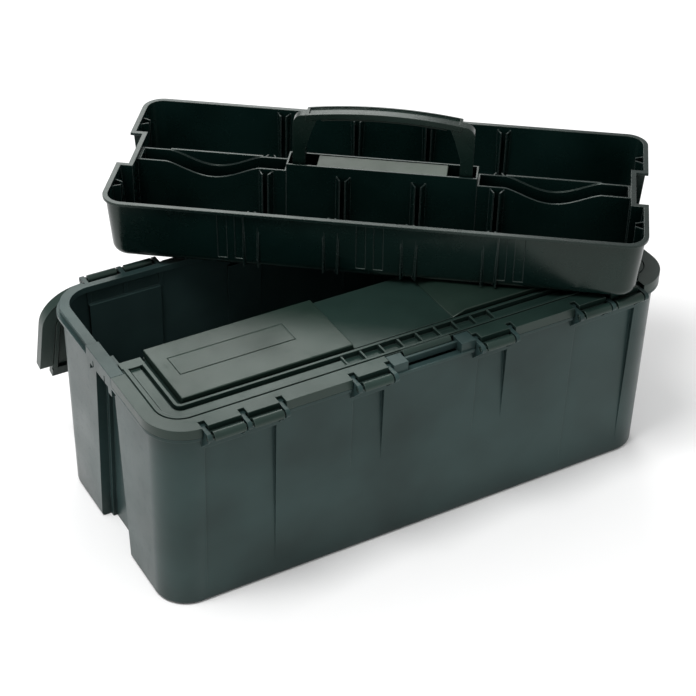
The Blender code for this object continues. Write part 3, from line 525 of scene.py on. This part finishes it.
def panel(name, x_low, x_high, foot, side, grow):
    top = HEIGHT - PANEL_TOP + grow

    def wall_at(z):
        return WALL_TOP_W - SIDE_TAPER * (1 - z / (HEIGHT - LIP_BOTTOM))

    face_top = wall_at(HEIGHT - PANEL_TOP) - PANEL_DEPTH - grow
    face_foot = wall_at(foot) - grow
    slope = (face_foot - face_top) / (HEIGHT - PANEL_TOP - foot)
    low = foot - grow
    outside = HALF_W + 2 * CLEAR
    outline = [(side * (face_top - slope * grow), top), (side * (face_foot + slope * grow), low),
               (side * outside, low), (side * outside, top)]
    return prism(name, outline, "X", x_low - grow, x_high + grow)


def panels(label, grow):
    made = []
    for side in (-1, 1):
        for mirror in (-1, 1):
            for arms, foot in ((OUTER_ARMS, OUTER_PANEL_FOOT), (INNER_ARMS, INNER_PANEL_FOOT)):
                edges = sorted((mirror * (arms[0] + ARM), mirror * (arms[-1] - ARM / 4)))
                name = f"{label}_{side}_{mirror}_{len(arms)}"
                made.append(panel(name, edges[0], edges[1], foot, side, grow))
    return made


def arm_outline(side):
    points = []
    for angle in np.radians(np.linspace(90, ARM_TURN, 13)):
        points.append((HINGE_Y - ARM_RADIUS * math.cos(angle), HINGE_Z + ARM_RADIUS * math.sin(angle)))
    root = HINGE_Y - ARM_REACH_IN
    gusset = HINGE_Z - GUSSET_DROP
    points += [(root + GUSSET_CHAMFER, gusset), (root, gusset - GUSSET_CHAMFER), (root, HINGE_Z + ARM_RADIUS)]
    return [(side * y, z) for y, z in points]


def hinge_places():
    return [("1", [-x for x in reversed(OUTER_ARMS)]), ("2", [-x for x in reversed(INNER_ARMS)]),
            ("3", list(INNER_ARMS)), ("4", list(OUTER_ARMS))]


def tub_cavity(wall_top):
    rings = foot_ring(FLOOR, WALL, FOOT_RADIUS)
    inner = loft("tub_inner", rings + [(tub_wall(wall_top, WALL), wall_top + WALL)])
    bumps = [cutter for end in (-1, 1) for cutter in channel("tub_bump", end, WALL)]
    bumps += panels("tub_bulge", BULGE)
    return solid_of("tub_cavity", shaped(inner, [("DIFFERENCE", bump) for bump in bumps]))


def side_block(name, side, x_from, x_to, y_from, y_to, low, high):
    """A block beside the front (-1) or rear (1) wall, with y measured outwards."""
    return block(name, (x_from, side * y_from, low), (x_to, side * y_to, high))


def end_block(name, end, x_from, x_to, y_from, y_to, low, high):
    """A block beside the left (-1) or right (1) end, with x measured outwards."""
    return block(name, (end * x_from, y_from, low), (end * x_to, y_to, high))


def tub_rim(wall_top):
    """The lip round the wall's top, the raised rim inside it and the bridge over each end channel."""
    lip = prism("tub_lip", rounded(HALF_L, HALF_W, CORNER_RADIUS), "Z", wall_top - GAP, HEIGHT - LIP_TOP)
    rim_outline = rounded(HALF_L - RIM_INSET, HALF_W - RIM_INSET, CORNER_RADIUS - RIM_INSET)
    rim = prism("tub_rim", rim_outline, "Z", wall_top - GAP, RIM_TOP)
    steps = [("UNION", lip), ("UNION", rim)]
    for end in (-1, 1):
        bridge = end_block("tub_bridge", end, HALF_L - RIM_WIDTH - LAP, HALF_L, -BRIDGE_HALF, BRIDGE_HALF,
                           RIM_TOP - BRIDGE_DEPTH, HEIGHT - BRIDGE_DROP)
        skirt = end_block("tub_skirt", end, WALL_TOP_L - LAP, HALF_L, -BRIDGE_HALF, BRIDGE_HALF,
                          HEIGHT - BRIDGE_SKIRT, RIM_TOP)
        steps += [("UNION", bridge), ("UNION", skirt)]
    return steps


def tub_pockets(wall_top):
    """Room for the lids' hooks, and the finger pocket in each long rim."""
    steps = []
    for side in (-1, 1):
        for _, arms in hinge_places():
            setback = side_block("tub_setback", side, arms[0] - ARM, arms[-1] + ARM,
                                 HALF_W - HINGE_SETBACK + HOOK_ROOM, HALF_W + CLEAR, wall_top - LAP, HEIGHT)
            steps.append(("DIFFERENCE", setback))
        pocket = side_block("tub_grip", side, -GRIP_HALF, GRIP_HALF, HALF_W - RIM_WIDTH + GRIP_BACK_WALL,
                            HALF_W - GRIP_EDGE, HEIGHT - GRIP_FLOOR, HEIGHT)
        lowered = side_block("tub_grip_edge", side, -GRIP_HALF, GRIP_HALF, HALF_W - 2 * GRIP_EDGE,
                             HALF_W + CLEAR, HEIGHT - LIP_TOP - GAP, HEIGHT)
        steps += [("DIFFERENCE", pocket), ("DIFFERENCE", lowered)]
    return steps


def tub_hinges(wall_top):
    """The arms with their bores, and a post at each end of the finger pockets."""
    steps = []
    for side in (-1, 1):
        for _, arms in hinge_places():
            for centre in arms:
                arm = prism("tub_arm", arm_outline(side), "X", centre - ARM / 2, centre + ARM / 2)
                steps.append(("UNION", arm))
            bore = rod("tub_bore", PIN_RADIUS + GAP, arms[0] - CLEAR, arms[-1] + CLEAR,
                       side * HINGE_Y, HINGE_Z, BORE_SIDES)
            steps.append(("DIFFERENCE", bore))
        for mirror in (-1, 1):
            post = side_block("tub_post", side, mirror * GRIP_HALF, mirror * (GRIP_SIDE - 2 * GAP),
                              HALF_W - POST_DEPTH, HALF_W - GRIP_EDGE, wall_top + INSIDE, HEIGHT - POST_DROP)
            steps.append(("UNION", post))
    return steps


def tub_slots():
    half_y, half_z = SLOT_SIZE[0] / 2, SLOT_SIZE[1] / 2
    middle = HEIGHT - BRIDGE_SKIRT + SLOT_FOOT + half_z
    steps = []
    for end in (-1, 1):
        for y in (-SLOT_OFFSET, SLOT_OFFSET):
            slot = end_block("tub_slot", end, HALF_L - SLOT_DEPTH, HALF_L + CLEAR, y - half_y, y + half_y,
                             middle - half_z, middle + half_z)
            steps.append(("DIFFERENCE", slot))
    return steps


def tub_mesh():
    wall_top = HEIGHT - LIP_BOTTOM
    outer = loft("tub_outer", foot_ring(0.0, 0.0, FOOT_RADIUS) + [(tub_wall(wall_top, 0.0), wall_top)])
    steps = tub_rim(wall_top) + tub_pockets(wall_top)
    for end in (-1, 1):
        steps += [("DIFFERENCE", cutter) for cutter in channel("tub_channel", end, 0.0)]
    steps += [("DIFFERENCE", cutter) for cutter in panels("tub_panel", 0.0)]
    mouth_outline = rounded(HALF_L - RIM_WIDTH, HALF_W - RIM_WIDTH, CORNER_RADIUS - RIM_WIDTH)
    mouth = prism("tub_mouth", mouth_outline, "Z", wall_top + WALL / 2, HEIGHT + CLEAR)
    steps += [("DIFFERENCE", tub_cavity(wall_top)), ("DIFFERENCE", mouth)]
    return shaped(outer, steps + tub_hinges(wall_top) + tub_slots())


# ---- lids ----------------------------------------------------------------------------------
def hook_outline():
    inner, outer = PIN_RADIUS + GAP, PIN_RADIUS + GAP + KNUCKLE
    angles = np.linspace(HOOK_OPEN[1], 2 * math.pi + HOOK_OPEN[0], 25)
    ring = [(radius * math.cos(angle), radius * math.sin(angle))
            for radius, run in ((outer, angles), (inner, angles[::-1])) for angle in run]
    return [(y - HINGE_Y, z + HINGE_Z) for y, z in ring]


def lid_shell(back, tab_back, groove_back):
    end_a, end_b, end_c, end_d, end_e, end_f = END_BAND
    side_a, side_b, side_c, side_d, side_e, side_f = SIDE_BAND
    lap = 2 * LAP
    top = HEIGHT + CLEAR
    flange = band("lid_flange", inset_path(0, 0, back), inset_path(end_a + lap, side_a + lap, back),
                  HEIGHT - SKIRT_DEPTH, HEIGHT)
    under = band("lid_under", inset_path(SKIRT, SKIRT, 0), inset_path(end_a + 2 * lap, side_a + 2 * lap, 0),
                 HEIGHT - 2 * SKIRT_DEPTH, HEIGHT - FLANGE)
    body = prism("lid_body", inset_path(end_a, side_a, tab_back), "Z", DECK_BOTTOM, HEIGHT + RIB_RISE)
    steps = [("DIFFERENCE", under), ("UNION", body)]
    groove = band("lid_fine_groove", inset_path(end_a, side_a, groove_back + lap),
                  inset_path(end_a + FINE_GROOVE, side_a + FINE_GROOVE, groove_back + lap),
                  HEIGHT - FINE_GROOVE, top)
    steps.append(("DIFFERENCE", groove))
    outer_floor = HEIGHT - OUTER_GROOVE_DROP
    for near, far, side_near, side_far, floor in ((end_b, end_c, side_b, side_c, outer_floor),
                                                  (end_d, end_e, side_d, side_e, DECK_TOP)):
        groove = band("lid_groove", inset_path(near, side_near, groove_back),
                      inset_path(far, side_far, groove_back), floor, top)
        steps.append(("DIFFERENCE", groove))
    ledge = band("lid_ledge", inset_path((end_b + end_c) / 2, (side_b + side_c) / 2, groove_back - lap / 4),
                 inset_path((end_d + end_e) / 2, (side_d + side_e) / 2, groove_back - lap / 4),
                 HEIGHT - LEDGE_DROP, top)
    hollow = prism("lid_hollow", inset_path(end_f, side_f, 0), "Z", DECK_TOP, top)
    return flange, steps + [("DIFFERENCE", ledge), ("DIFFERENCE", hollow)]


def grip_lip_outline():
    """Lip over the finger pocket: it leaves the side rib level and turns down as it reaches out."""
    root = -(HALF_W - SIDE_BAND[0])
    top = HEIGHT - INSIDE
    upper, lower = [(root + GRIP_LIP, top)], [(root + GRIP_LIP, top - GRIP_LIP)]
    for turn in np.linspace(0, math.pi / 2, 12):
        across, fall = math.sin(turn), 1 - math.cos(turn)
        upper.append((root - GRIP_LIP_REACH * across, top - GRIP_LIP_FALL * fall))
        lower.append((root - (GRIP_LIP_REACH - GRIP_LIP) * across,
                      top - GRIP_LIP - (GRIP_LIP_FALL - GRIP_LIP) * fall))
    return upper + lower[::-1]


def lid_deck(tab_back):
    """The strip along the lid's free edge and the raised middle between its plates."""
    plate_end = HALF_L - PLATE_END
    back = block("lid_back", (-plate_end, tab_back - DECK_LAP, DECK_BOTTOM + INSIDE),
                 (plate_end, -HALF_GAP, DECK_TOP - INSIDE))
    middle = block("lid_middle", (-MIDDLE_STEEP, -PLATE_FRONT, DECK_BOTTOM + 2 * INSIDE),
                   (MIDDLE_SLOPED, -HALF_GAP - INSIDE, HEIGHT - MIDDLE_DROP))
    return [("UNION", back), ("UNION", middle)]


def lid_ladder():
    """Short rungs across the long groove, over the lid's middle."""
    rung_low, rung_high = -(HALF_W - SIDE_BAND[1] + RUNG_FOOT), -(HALF_W - SIDE_BAND[4] - RUNG_FOOT)
    half = (RUNG_COUNT - 1) / 2 * RUNG_PITCH
    cells = block("lid_cells", (-half, -(HALF_W - SIDE_BAND[2]), DECK_TOP + INSIDE),
                  (half, -(HALF_W - SIDE_BAND[3] - RUNG_FOOT), HEIGHT + CLEAR))
    steps = [("DIFFERENCE", cells)]
    for index in range(RUNG_COUNT):
        x = index * RUNG_PITCH - half
        rung = block("lid_rung", (x - RUNG / 2, rung_low, DECK_BOTTOM + INSIDE),
                     (x + RUNG / 2, rung_high, HEIGHT - INSIDE))
        steps.append(("UNION", rung))
    return steps


def hooks(arms):
    """A hook round the pin in each space between two hinge arms, with its apron and web."""
    steps = []
    for first, second in zip(arms, arms[1:]):
        low, high = first + ARM / 2 + HOOK_SIDE, second - ARM / 2 - HOOK_SIDE
        apron = block("lid_apron", (low, -HALF_W + APRON[0], HINGE_Z - APRON_DROP),
                      (high, -HALF_W + APRON[1], HEIGHT - LAP))
        web = block("lid_web", (low + INSIDE, -HALF_W + WEB[0], HINGE_Z - WEB_DROP),
                    (high - INSIDE, -HALF_W + WEB[1], HINGE_Z + WEB_RISE))
        hook = prism("lid_hook", hook_outline(), "X", low + 2 * INSIDE, high - 2 * INSIDE)
        steps += [("UNION", apron), ("UNION", web), ("UNION", hook)]
    return steps


def hinge_cuts(arms):
    """Room in the lid's edge for one group of the tub's arms."""
    outside = -HINGE_Y - CLEAR
    low, high = HEIGHT - 2 * CLEAR, HEIGHT + CLEAR
    side = ARM / 2 + EDGE_GAP
    steps = [("DIFFERENCE", block("lid_clear", (arms[0] - side, outside, low),
                                  (arms[-1] + side, -HALF_W + HOOK_SETBACK, high)))]
    side = ARM / 2 + ARM_SLOT_SIDE
    for centre in arms:
        slot = block("lid_slot", (centre - side, outside, low),
                     (centre + side, -HALF_W + ARM_SLOT_DEPTH, high))
        steps.append(("DIFFERENCE", slot))
    return steps


def lid_mesh():
    back = -BRIDGE_HALF - EDGE_GAP
    tab_back = -HALF_GAP - TAB_SETBACK
    flange, steps = lid_shell(back, tab_back, tab_back - TAB_LENGTH)
    steps += lid_deck(tab_back) + lid_ladder()
    grip = block("lid_grip", (-GRIP_SIDE, -HALF_W - CLEAR, HEIGHT - 2 * CLEAR),
                 (GRIP_SIDE, -(HALF_W - SIDE_BAND[0] + EDGE_GAP), HEIGHT + CLEAR))
    lip_half = GRIP_HALF - 2 * GRIP_EDGE
    lip = prism("lid_grip_lip", grip_lip_outline(), "X", -lip_half, lip_half)
    steps += [("DIFFERENCE", grip), ("UNION", lip)]
    for _, arms in hinge_places():
        steps += hinge_cuts(arms) + hooks(arms)
    return shaped(flange, steps)


def plate_mesh(mirror, label):
    end = HALF_L - PLATE_END
    middle, lean = MIDDLE_STEEP + GAP, PLATE_DRAFT
    if mirror > 0:
        middle, lean = MIDDLE_SLOPED + GAP, PLATE_LEAN
    bottom, top = DECK_TOP + GAP, HEIGHT + PLATE_RISE
    outline = [(mirror * end, bottom), (mirror * middle, bottom), (mirror * middle, HEIGHT - MIDDLE_DROP),
               (mirror * (middle + lean), top), (mirror * end, top)]
    plate = prism("plate_outer", outline, "Y", -PLATE_FRONT, -HALF_GAP - GAP)
    inner = middle + PLATE_WALL + lean
    hollow = block("plate_hollow", (mirror * inner, -PLATE_FRONT + PLATE_WALL, bottom - CLEAR),
                   (mirror * (end - PLATE_WALL), -HALF_GAP - PLATE_WALL, top - PLATE_WALL - LABEL_SINK))
    steps = [("DIFFERENCE", hollow)]
    if label:
        recess = block("plate_recess", (LABEL_LOW[0] - GAP, LABEL_LOW[1] - GAP, top - LABEL_SINK),
                       (LABEL_HIGH[0] + GAP, LABEL_HIGH[1] + GAP, top + CLEAR))
        steps.append(("DIFFERENCE", recess))
    return shaped(plate, steps)


def rear_place():
    """From the front lid's closed place to the rear lid's open one."""
    hinge = Matrix.Translation((0, HINGE_Y, HINGE_Z))
    turned = Matrix.Rotation(math.pi, 4, "Z") @ Matrix.Rotation(REAR_OPEN, 4, "X")
    return hinge @ turned @ Matrix.Translation((0, HINGE_Y, -HINGE_Z))


# ---- tray ----------------------------------------------------------------------------------
def tray_wall(height, inset):
    share = min(height / TRAY_HEIGHT, 1.0)
    half_x = TRAY_LENGTH / 2 - TRAY_RIM - TRAY_TAPER * (1 - share) - inset
    half_y = TRAY_WIDTH / 2 - TRAY_RIM - TRAY_TAPER * (1 - share) - inset
    return rounded(half_x, half_y, TRAY_CORNER - TRAY_RIM - inset)


def tray_foot(floor, inset):
    sections = []
    for angle in (0, 18, 36, 54, 72, 90):
        turn = math.radians(angle)
        sections.append((tray_wall(0, inset + TRAY_FOOT_RUN * (1 - math.sin(turn))),
                         floor + TRAY_FOOT * (1 - math.cos(turn))))
    return sections


def notch(end, grow):
    """Recess in one end of the tray, from its rim's line when grow is nought."""
    start = TRAY_LENGTH / 2 - NOTCH_DEPTH - grow
    return block("tray_notch", (end * start, -NOTCH_HALF - grow, -CLEAR),
                 (end * (TRAY_LENGTH / 2 + CLEAR), NOTCH_HALF + grow, TRAY_HEIGHT + CLEAR))


def scoop_outline():
    """The dip in the spine, as a sagging curve."""
    top = TRAY_HEIGHT - SPINE_DROP
    points = []
    for share in np.linspace(-1.0, 1.0, 25):
        fall = math.cos(math.pi / 2 * share) ** SCOOP_FULLNESS
        points.append((SCOOP_HALF * share, top - SCOOP_DEPTH * fall))
    return points + [(SCOOP_HALF, top + 2 * CLEAR), (-SCOOP_HALF, top + 2 * CLEAR)]


def guide_outline(place, wall, inward, sign):
    """One rib of a divider guide from above: it leaves the wall and slants towards its pair."""
    root, tip = place + sign * GUIDE_ROOT, place + sign * GUIDE_MOUTH
    end = wall + inward * GUIDE_REACH
    wall -= inward * TRAY_WALL / 2
    half = GUIDE / 2
    return [(root - half, wall), (root + half, wall), (tip + half, end), (tip - half, end)]


def guides():
    steps = []
    low, top = TRAY_FLOOR - GUIDE / 2, TRAY_HEIGHT - GUIDE_DROP
    wall_x = TRAY_LENGTH / 2 - TRAY_RIM - TRAY_WALL
    wall_y = TRAY_WIDTH / 2 - TRAY_RIM - TRAY_WALL
    for side in (-1, 1):
        for place in [x * mirror for x in GUIDE_PLACES for mirror in (-1, 1)]:
            inner = HOUSING_WIDE if abs(place) < HOUSING_HALF else SPINE_HALF
            for sign in (-1, 1):
                wall = guide_outline(place, side * wall_y, -side, sign)
                spine = guide_outline(place, side * inner, side, sign)
                steps.append(("UNION", prism("tray_rib", wall, "Z", low, top)))
                steps.append(("UNION", prism("tray_rib", spine, "Z", low, top - SPINE_DROP + GUIDE_DROP / 2)))
        for end in (-1, 1):
            for sign in (-1, 1):
                plan = [(x, y) for y, x in guide_outline(side * END_GUIDE_PLACE, end * wall_x, -end, sign)]
                steps.append(("UNION", prism("tray_rib", plan, "Z", low, top)))
    return steps


def flutes():
    """Pairs of shallow upright grooves on the outside of the long walls."""
    steps = []
    top, foot = TRAY_HEIGHT - FLUTE_DROP, TRAY_FOOT
    wall = TRAY_WIDTH / 2 - TRAY_RIM - FLUTE_DEPTH
    y_top = wall - TRAY_TAPER * (1 - top / TRAY_HEIGHT)
    y_foot = wall - TRAY_TAPER * (1 - foot / TRAY_HEIGHT)
    edge = TRAY_WIDTH / 2
    for side in (-1, 1):
        outline = [(side * y_top, top), (side * y_foot, foot),
                   (side * (edge - EDGE_GAP), foot - FLUTE_RUN_OUT), (side * (edge + CLEAR), top)]
        for place in FLUTE_PLACES:
            for x in (place - FLUTE_SPACING / 2, place + FLUTE_SPACING / 2):
                steps.append(("DIFFERENCE", prism("flute", outline, "X", x - FLUTE_HALF, x + FLUTE_HALF)))
    return steps


def tray_cavity():
    rings = tray_foot(TRAY_FLOOR, TRAY_WALL)
    inner = loft("tray_inner", rings + [(tray_wall(TRAY_HEIGHT, TRAY_WALL), TRAY_HEIGHT + LAP)])
    keep = [("DIFFERENCE", notch(end, TRAY_RIM + TRAY_WALL)) for end in (-1, 1)]
    spine_top = TRAY_HEIGHT - SPINE_DROP
    spine = block("tray_spine", (-HALF_L, -SPINE_HALF, -CLEAR), (HALF_L, SPINE_HALF, spine_top))
    keep.append(("DIFFERENCE", spine))
    for mirror in (-1, 1):
        centre = mirror * SCOOP_CENTRE
        backing = block("tray_backing", (centre - SCOOP_HALF, 0, -CLEAR),
                        (centre + SCOOP_HALF, SPINE_HALF + SCOOP_BACKING, spine_top))
        keep.append(("DIFFERENCE", backing))
    housing = block("tray_housing", (-HOUSING_HALF, -HOUSING_WIDE, -CLEAR),
                    (HOUSING_HALF, HOUSING_WIDE, TRAY_HEIGHT + CLEAR))
    keep.append(("DIFFERENCE", housing))
    return solid_of("tray_cavity", shaped(inner, keep))


def tray_mesh():
    rim_low = TRAY_HEIGHT - TRAY_RIM_HEIGHT
    outer = loft("tray_outer", tray_foot(0.0, 0.0) + [(tray_wall(TRAY_HEIGHT, 0.0), TRAY_HEIGHT)])
    steps = flutes()
    rim_outline = rounded(TRAY_LENGTH / 2, TRAY_WIDTH / 2, TRAY_CORNER)
    rim = prism("tray_rim", rim_outline, "Z", rim_low, TRAY_HEIGHT)
    rim = solid_of("tray_rim", shaped(rim, [("DIFFERENCE", notch(end, 0.0)) for end in (-1, 1)]))
    steps += [("DIFFERENCE", notch(end, TRAY_RIM)) for end in (-1, 1)] + [("UNION", rim)]
    housing = block("tray_guide", (-HOUSING_HALF, -HOUSING_WIDE, TRAY_FLOOR),
                    (HOUSING_HALF, HOUSING_WIDE, TRAY_HEIGHT + HOUSING_RISE))
    steps += [("UNION", housing), ("DIFFERENCE", tray_cavity())]
    spine_end = TRAY_LENGTH / 2 - NOTCH_DEPTH - TRAY_RIM - TRAY_WALL * 2
    half = SPINE_HALF - SPINE_WALL
    for mirror in (-1, 1):
        hollow = block("tray_hollow", (mirror * (HOUSING_HALF + SPINE_WALL), -half, TRAY_FLOOR),
                       (mirror * spine_end, half, HEIGHT))
        outline = [(x + mirror * SCOOP_CENTRE, z) for x, z in scoop_outline()]
        scoop = prism("tray_scoop", outline, "Y", -SPINE_HALF - LAP, SPINE_HALF)
        steps += [("DIFFERENCE", hollow), ("DIFFERENCE", scoop)]
    deep, long = HOUSING_WIDE - HOUSING_WALL, HOUSING_HALF - HOUSING_WALL
    well = block("tray_well", (-long, -deep, TRAY_FLOOR), (long, deep, HEIGHT))
    return shaped(outer, steps + [("DIFFERENCE", well)] + guides())


def seat_mesh():
    half = HOUSING_WIDE - HOUSING_WALL - GAP
    top = TRAY_HEIGHT + HOUSING_RISE - SEAT_SINK
    seat = block("seat", (-SEAT_HALF, -half, top - SEAT_HEIGHT), (SEAT_HALF, half, top))
    return shaped(seat, [])


# ---- handle --------------------------------------------------------------------------------
def arch(x, height):
    return TRAY_HEIGHT + height - HANDLE_ARCH * (x / ARCH_HALF) ** 2


def handle_outline():
    steps = 28
    corner = HANDLE_CORNER
    left = -HANDLE_HALF
    leg_foot = TRAY_HEIGHT + HOUSING_RISE - LEG_IN
    points = []
    for index in range(steps + 1):
        x = (HANDLE_HALF - corner) * (1 - 2 * index / steps)
        points.append((x, arch(x, HANDLE_TOP)))
    shoulder = arch(HANDLE_HALF - corner, HANDLE_TOP) - corner
    for index in range(1, 9):
        angle = math.radians(90 + 90 * index / 8)
        points.append((left + corner + corner * math.cos(angle), shoulder + corner * math.sin(angle)))
    leg_in = left + LEG_WIDE
    underside = arch(leg_in + GUSSET_RUN, HANDLE_TOP - GRIP_THICK)
    points += [(left, leg_foot), (leg_in, leg_foot), (leg_in, underside - GUSSET_FALL),
               (leg_in + GUSSET_RUN * GUSSET_SHARE, underside - GUSSET_BEND)]
    half_points = 14
    for index in range(half_points + 1):
        x = (leg_in + GUSSET_RUN) * (1 - index / half_points)
        points.append((x, arch(x, HANDLE_TOP - GRIP_THICK)))
    right = [(-x, z) for x, z in reversed(points[steps + 1:-1])]
    return points + right


def strip(name, half, high, low, front, back):
    """A curved strip of the handle between two depths below the line of its top."""
    xs = np.linspace(-half, half, 31)
    outline = [(x, arch(x, high)) for x in xs] + [(x, arch(x, low)) for x in xs[::-1]]
    return prism(name, outline, "Y", front, back)


def handle_mesh():
    legs = prism("handle_legs", handle_outline(), "Y", -LEG_THICK / 2, LEG_THICK / 2)
    half = HANDLE_HALF - LEG_WIDE
    grip = strip("handle_grip", half, HANDLE_TOP + INSIDE, HANDLE_TOP - GRIP_THICK - INSIDE,
                 -GRIP_FRONT, GRIP_BACK)
    groove = strip("handle_groove", half - 2 * GRIP_GROOVE, HANDLE_TOP + CLEAR, HANDLE_TOP - GRIP_GROOVE,
                   -GRIP_FRONT + 2.4 * GRIP_GROOVE, GRIP_BACK - 1.2 * GRIP_GROOVE)
    return shaped(legs, [("UNION", grip), ("DIFFERENCE", groove)])


def insert_mesh():
    top = HANDLE_TOP - GRIP_THICK - 3 * GAP
    half = INSERT_WIDE / 2
    return shaped(strip("insert", INSERT_HALF, top, top - INSERT_THICK, -half, half), [])


def label_mesh():
    return shaped(block("label", LABEL_LOW, LABEL_HIGH), [])


# ---- the whole object ----------------------------------------------------------------------
def build_object():
    # After the colour: roughness, grain, waviness, strength of the paler edges (partly wear, partly painted
    # highlight), sheen, and the edges' added lightness (painted highlight).
    tub_finish = moulded_plastic("tub_finish", (0.0175, 0.0345, 0.0340), 0.32, 0.30, 0.35, 0.6, 0.22, 0.020)
    lid_finish = moulded_plastic("lid_finish", (0.0085, 0.0205, 0.0170), 0.34, 0.35, 0.30, 0.9, 0.36, 0.050)
    plate_finish = moulded_plastic("plate_finish", (0.0070, 0.0165, 0.0125), 0.34, 0.25, 0.25, 0.7, 0.36, 0.012)
    tray_finish = moulded_plastic("tray_finish", (0.0008, 0.0070, 0.0060), 0.24, 0.22, 0.40, 1.0, 0.34, 0.085)
    handle_finish = moulded_plastic("handle_finish", (0.0025, 0.0090, 0.0070), 0.26, 0.30, 0.20, 0.9, 0.34, 0.050)
    seat_finish = moulded_plastic("seat_finish", (0.0320, 0.0430, 0.0330), 0.40, 0.30, 0.20, 0.5, 0.30)
    pin_finish = moulded_plastic("pin_finish", (0.0040, 0.0120, 0.0100), 0.28, 0.20, 0.10, 0.4)
    label_finish = moulded_plastic("label_finish", (0.0070, 0.0165, 0.0125), 0.34, 0.20, 0.15, 0.5, 0.36)
    insert_finish = moulded_plastic("insert_finish", (0.0015, 0.0050, 0.0040), 0.45, 0.50, 0.10, 0.3)

    piece("tub_shell", tub_mesh(), tub_finish, "tub", ["tub"], FINE_ROUND)
    lid = lid_mesh()
    rear = rear_place()
    piece("front_lid_shell", lid, lid_finish, "front_lid", ["front_lid"], FINE_ROUND)
    piece("rear_lid_shell", lid, lid_finish, "rear_lid", ["rear_lid"], FINE_ROUND, rear)
    left, right = plate_mesh(-1, False), plate_mesh(1, False)
    for name, mesh, body, node, place in (
            ("front_left_cover", plate_mesh(-1, True), "front_lid", "front_left_plate", None),
            ("front_right_cover", right, "front_lid", "front_right_plate", None),
            ("rear_left_cover", right, "rear_lid", "rear_left_plate", rear),
            ("rear_right_cover", left, "rear_lid", "rear_right_plate", rear)):
        piece(name, mesh, plate_finish, body, [node], COVER_ROUND, place)
    piece("label_cover", label_mesh(), label_finish, "front_lid", ["label_plate"],
          LABEL_ROUND)
    for side, label in ((-1, "front"), (1, "rear")):
        for number, arms in hinge_places():
            pin = rod("pin", PIN_RADIUS, arms[0] - ARM / 2 - GAP, arms[-1] + ARM / 2 + GAP,
                      side * HINGE_Y, HINGE_Z)
            piece(f"{label}_hinge_rod_{number}", shaped(pin, []), pin_finish, "tub",
                  [f"{label}_hinge_pin_{number}"], ROD_ROUND)

    place = Matrix.Translation(TRAY_PLACE) @ Matrix.Rotation(TRAY_YAW, 4, "Z")
    piece("tray_shell", tray_mesh(), tray_finish, "tray", ["tray"], TRAY_ROUND, place)
    piece("seat_bar", seat_mesh(), seat_finish, "tray", ["handle_seat"], ROD_ROUND, place)
    piece("handle_bow", handle_mesh(), handle_finish, "tray_handle", ["tray_handle"],
          FINE_ROUND, place)
    piece("grip_strip", insert_mesh(), insert_finish, "tray_handle", ["grip_insert"],
          COVER_ROUND, place)


# ---- stage ---------------------------------------------------------------------------------
def area_light(name, place, aim, size, power):
    light = bpy.data.lights.new(name, "AREA")
    light.shape = "RECTANGLE"
    light.size, light.size_y = size
    light.energy = power
    obj = bpy.data.objects.new(name, light)
    obj.location = place
    obj.rotation_euler = (Vector(aim) - Vector(place)).to_track_quat("-Z", "Y").to_euler()
    bpy.context.scene.collection.objects.link(obj)


def build_stage():
    bm = bmesh.new()
    bmesh.ops.create_grid(bm, x_segments=1, y_segments=1, size=6.0)
    mesh = bpy.data.meshes.new("floor")
    bm.to_mesh(mesh)
    bm.free()
    floor = bpy.data.objects.new("floor", mesh)
    bpy.context.scene.collection.objects.link(floor)
    paper = bpy.data.materials.new("paper")
    paper.use_nodes = True
    paper.node_tree.nodes["Principled BSDF"].inputs["Base Color"].default_value = (0.93, 0.93, 0.93, 1)
    paper.node_tree.nodes["Principled BSDF"].inputs["Roughness"].default_value = 0.9
    mesh.materials.append(paper)
    world = bpy.data.worlds.new("studio")
    world.use_nodes = True
    world.node_tree.nodes["Background"].inputs["Color"].default_value = (1, 1, 1, 1)
    world.node_tree.nodes["Background"].inputs["Strength"].default_value = WORLD_STRENGTH
    bpy.context.scene.world = world
    area_light("back_softbox", (0.85, 2.2, 1.9), (0.0, 0.0, 0.2), (1.5, 1.3), 24)
    area_light("top_softbox", (-0.9, -0.2, 2.4), (-0.1, 0.0, 0.1), (0.8, 0.8), 42)
    bpy.context.scene.view_settings.view_transform = "Standard"


def build_camera():
    azimuth, elevation = CAMERA_AZIMUTH, CAMERA_ELEVATION
    back = Vector((math.sin(azimuth) * math.cos(elevation), -math.cos(azimuth) * math.cos(elevation),
                   math.sin(elevation)))
    right = Vector((math.cos(azimuth), math.sin(azimuth), 0))
    up = back.cross(right)
    cos, sin = math.cos(CAMERA_ROLL), math.sin(CAMERA_ROLL)
    axes = (right * cos + up * sin, up * cos - right * sin, back)
    data = bpy.data.cameras.new("camera")
    data.lens = CAMERA_LENS
    data.sensor_width = 36
    camera = bpy.data.objects.new("camera", data)
    camera.matrix_world = Matrix.Translation(CAMERA_PLACE) @ Matrix(axes).transposed().to_4x4()
    bpy.context.scene.collection.objects.link(camera)
    bpy.context.scene.camera = camera


build_camera()
build_stage()
build_object()
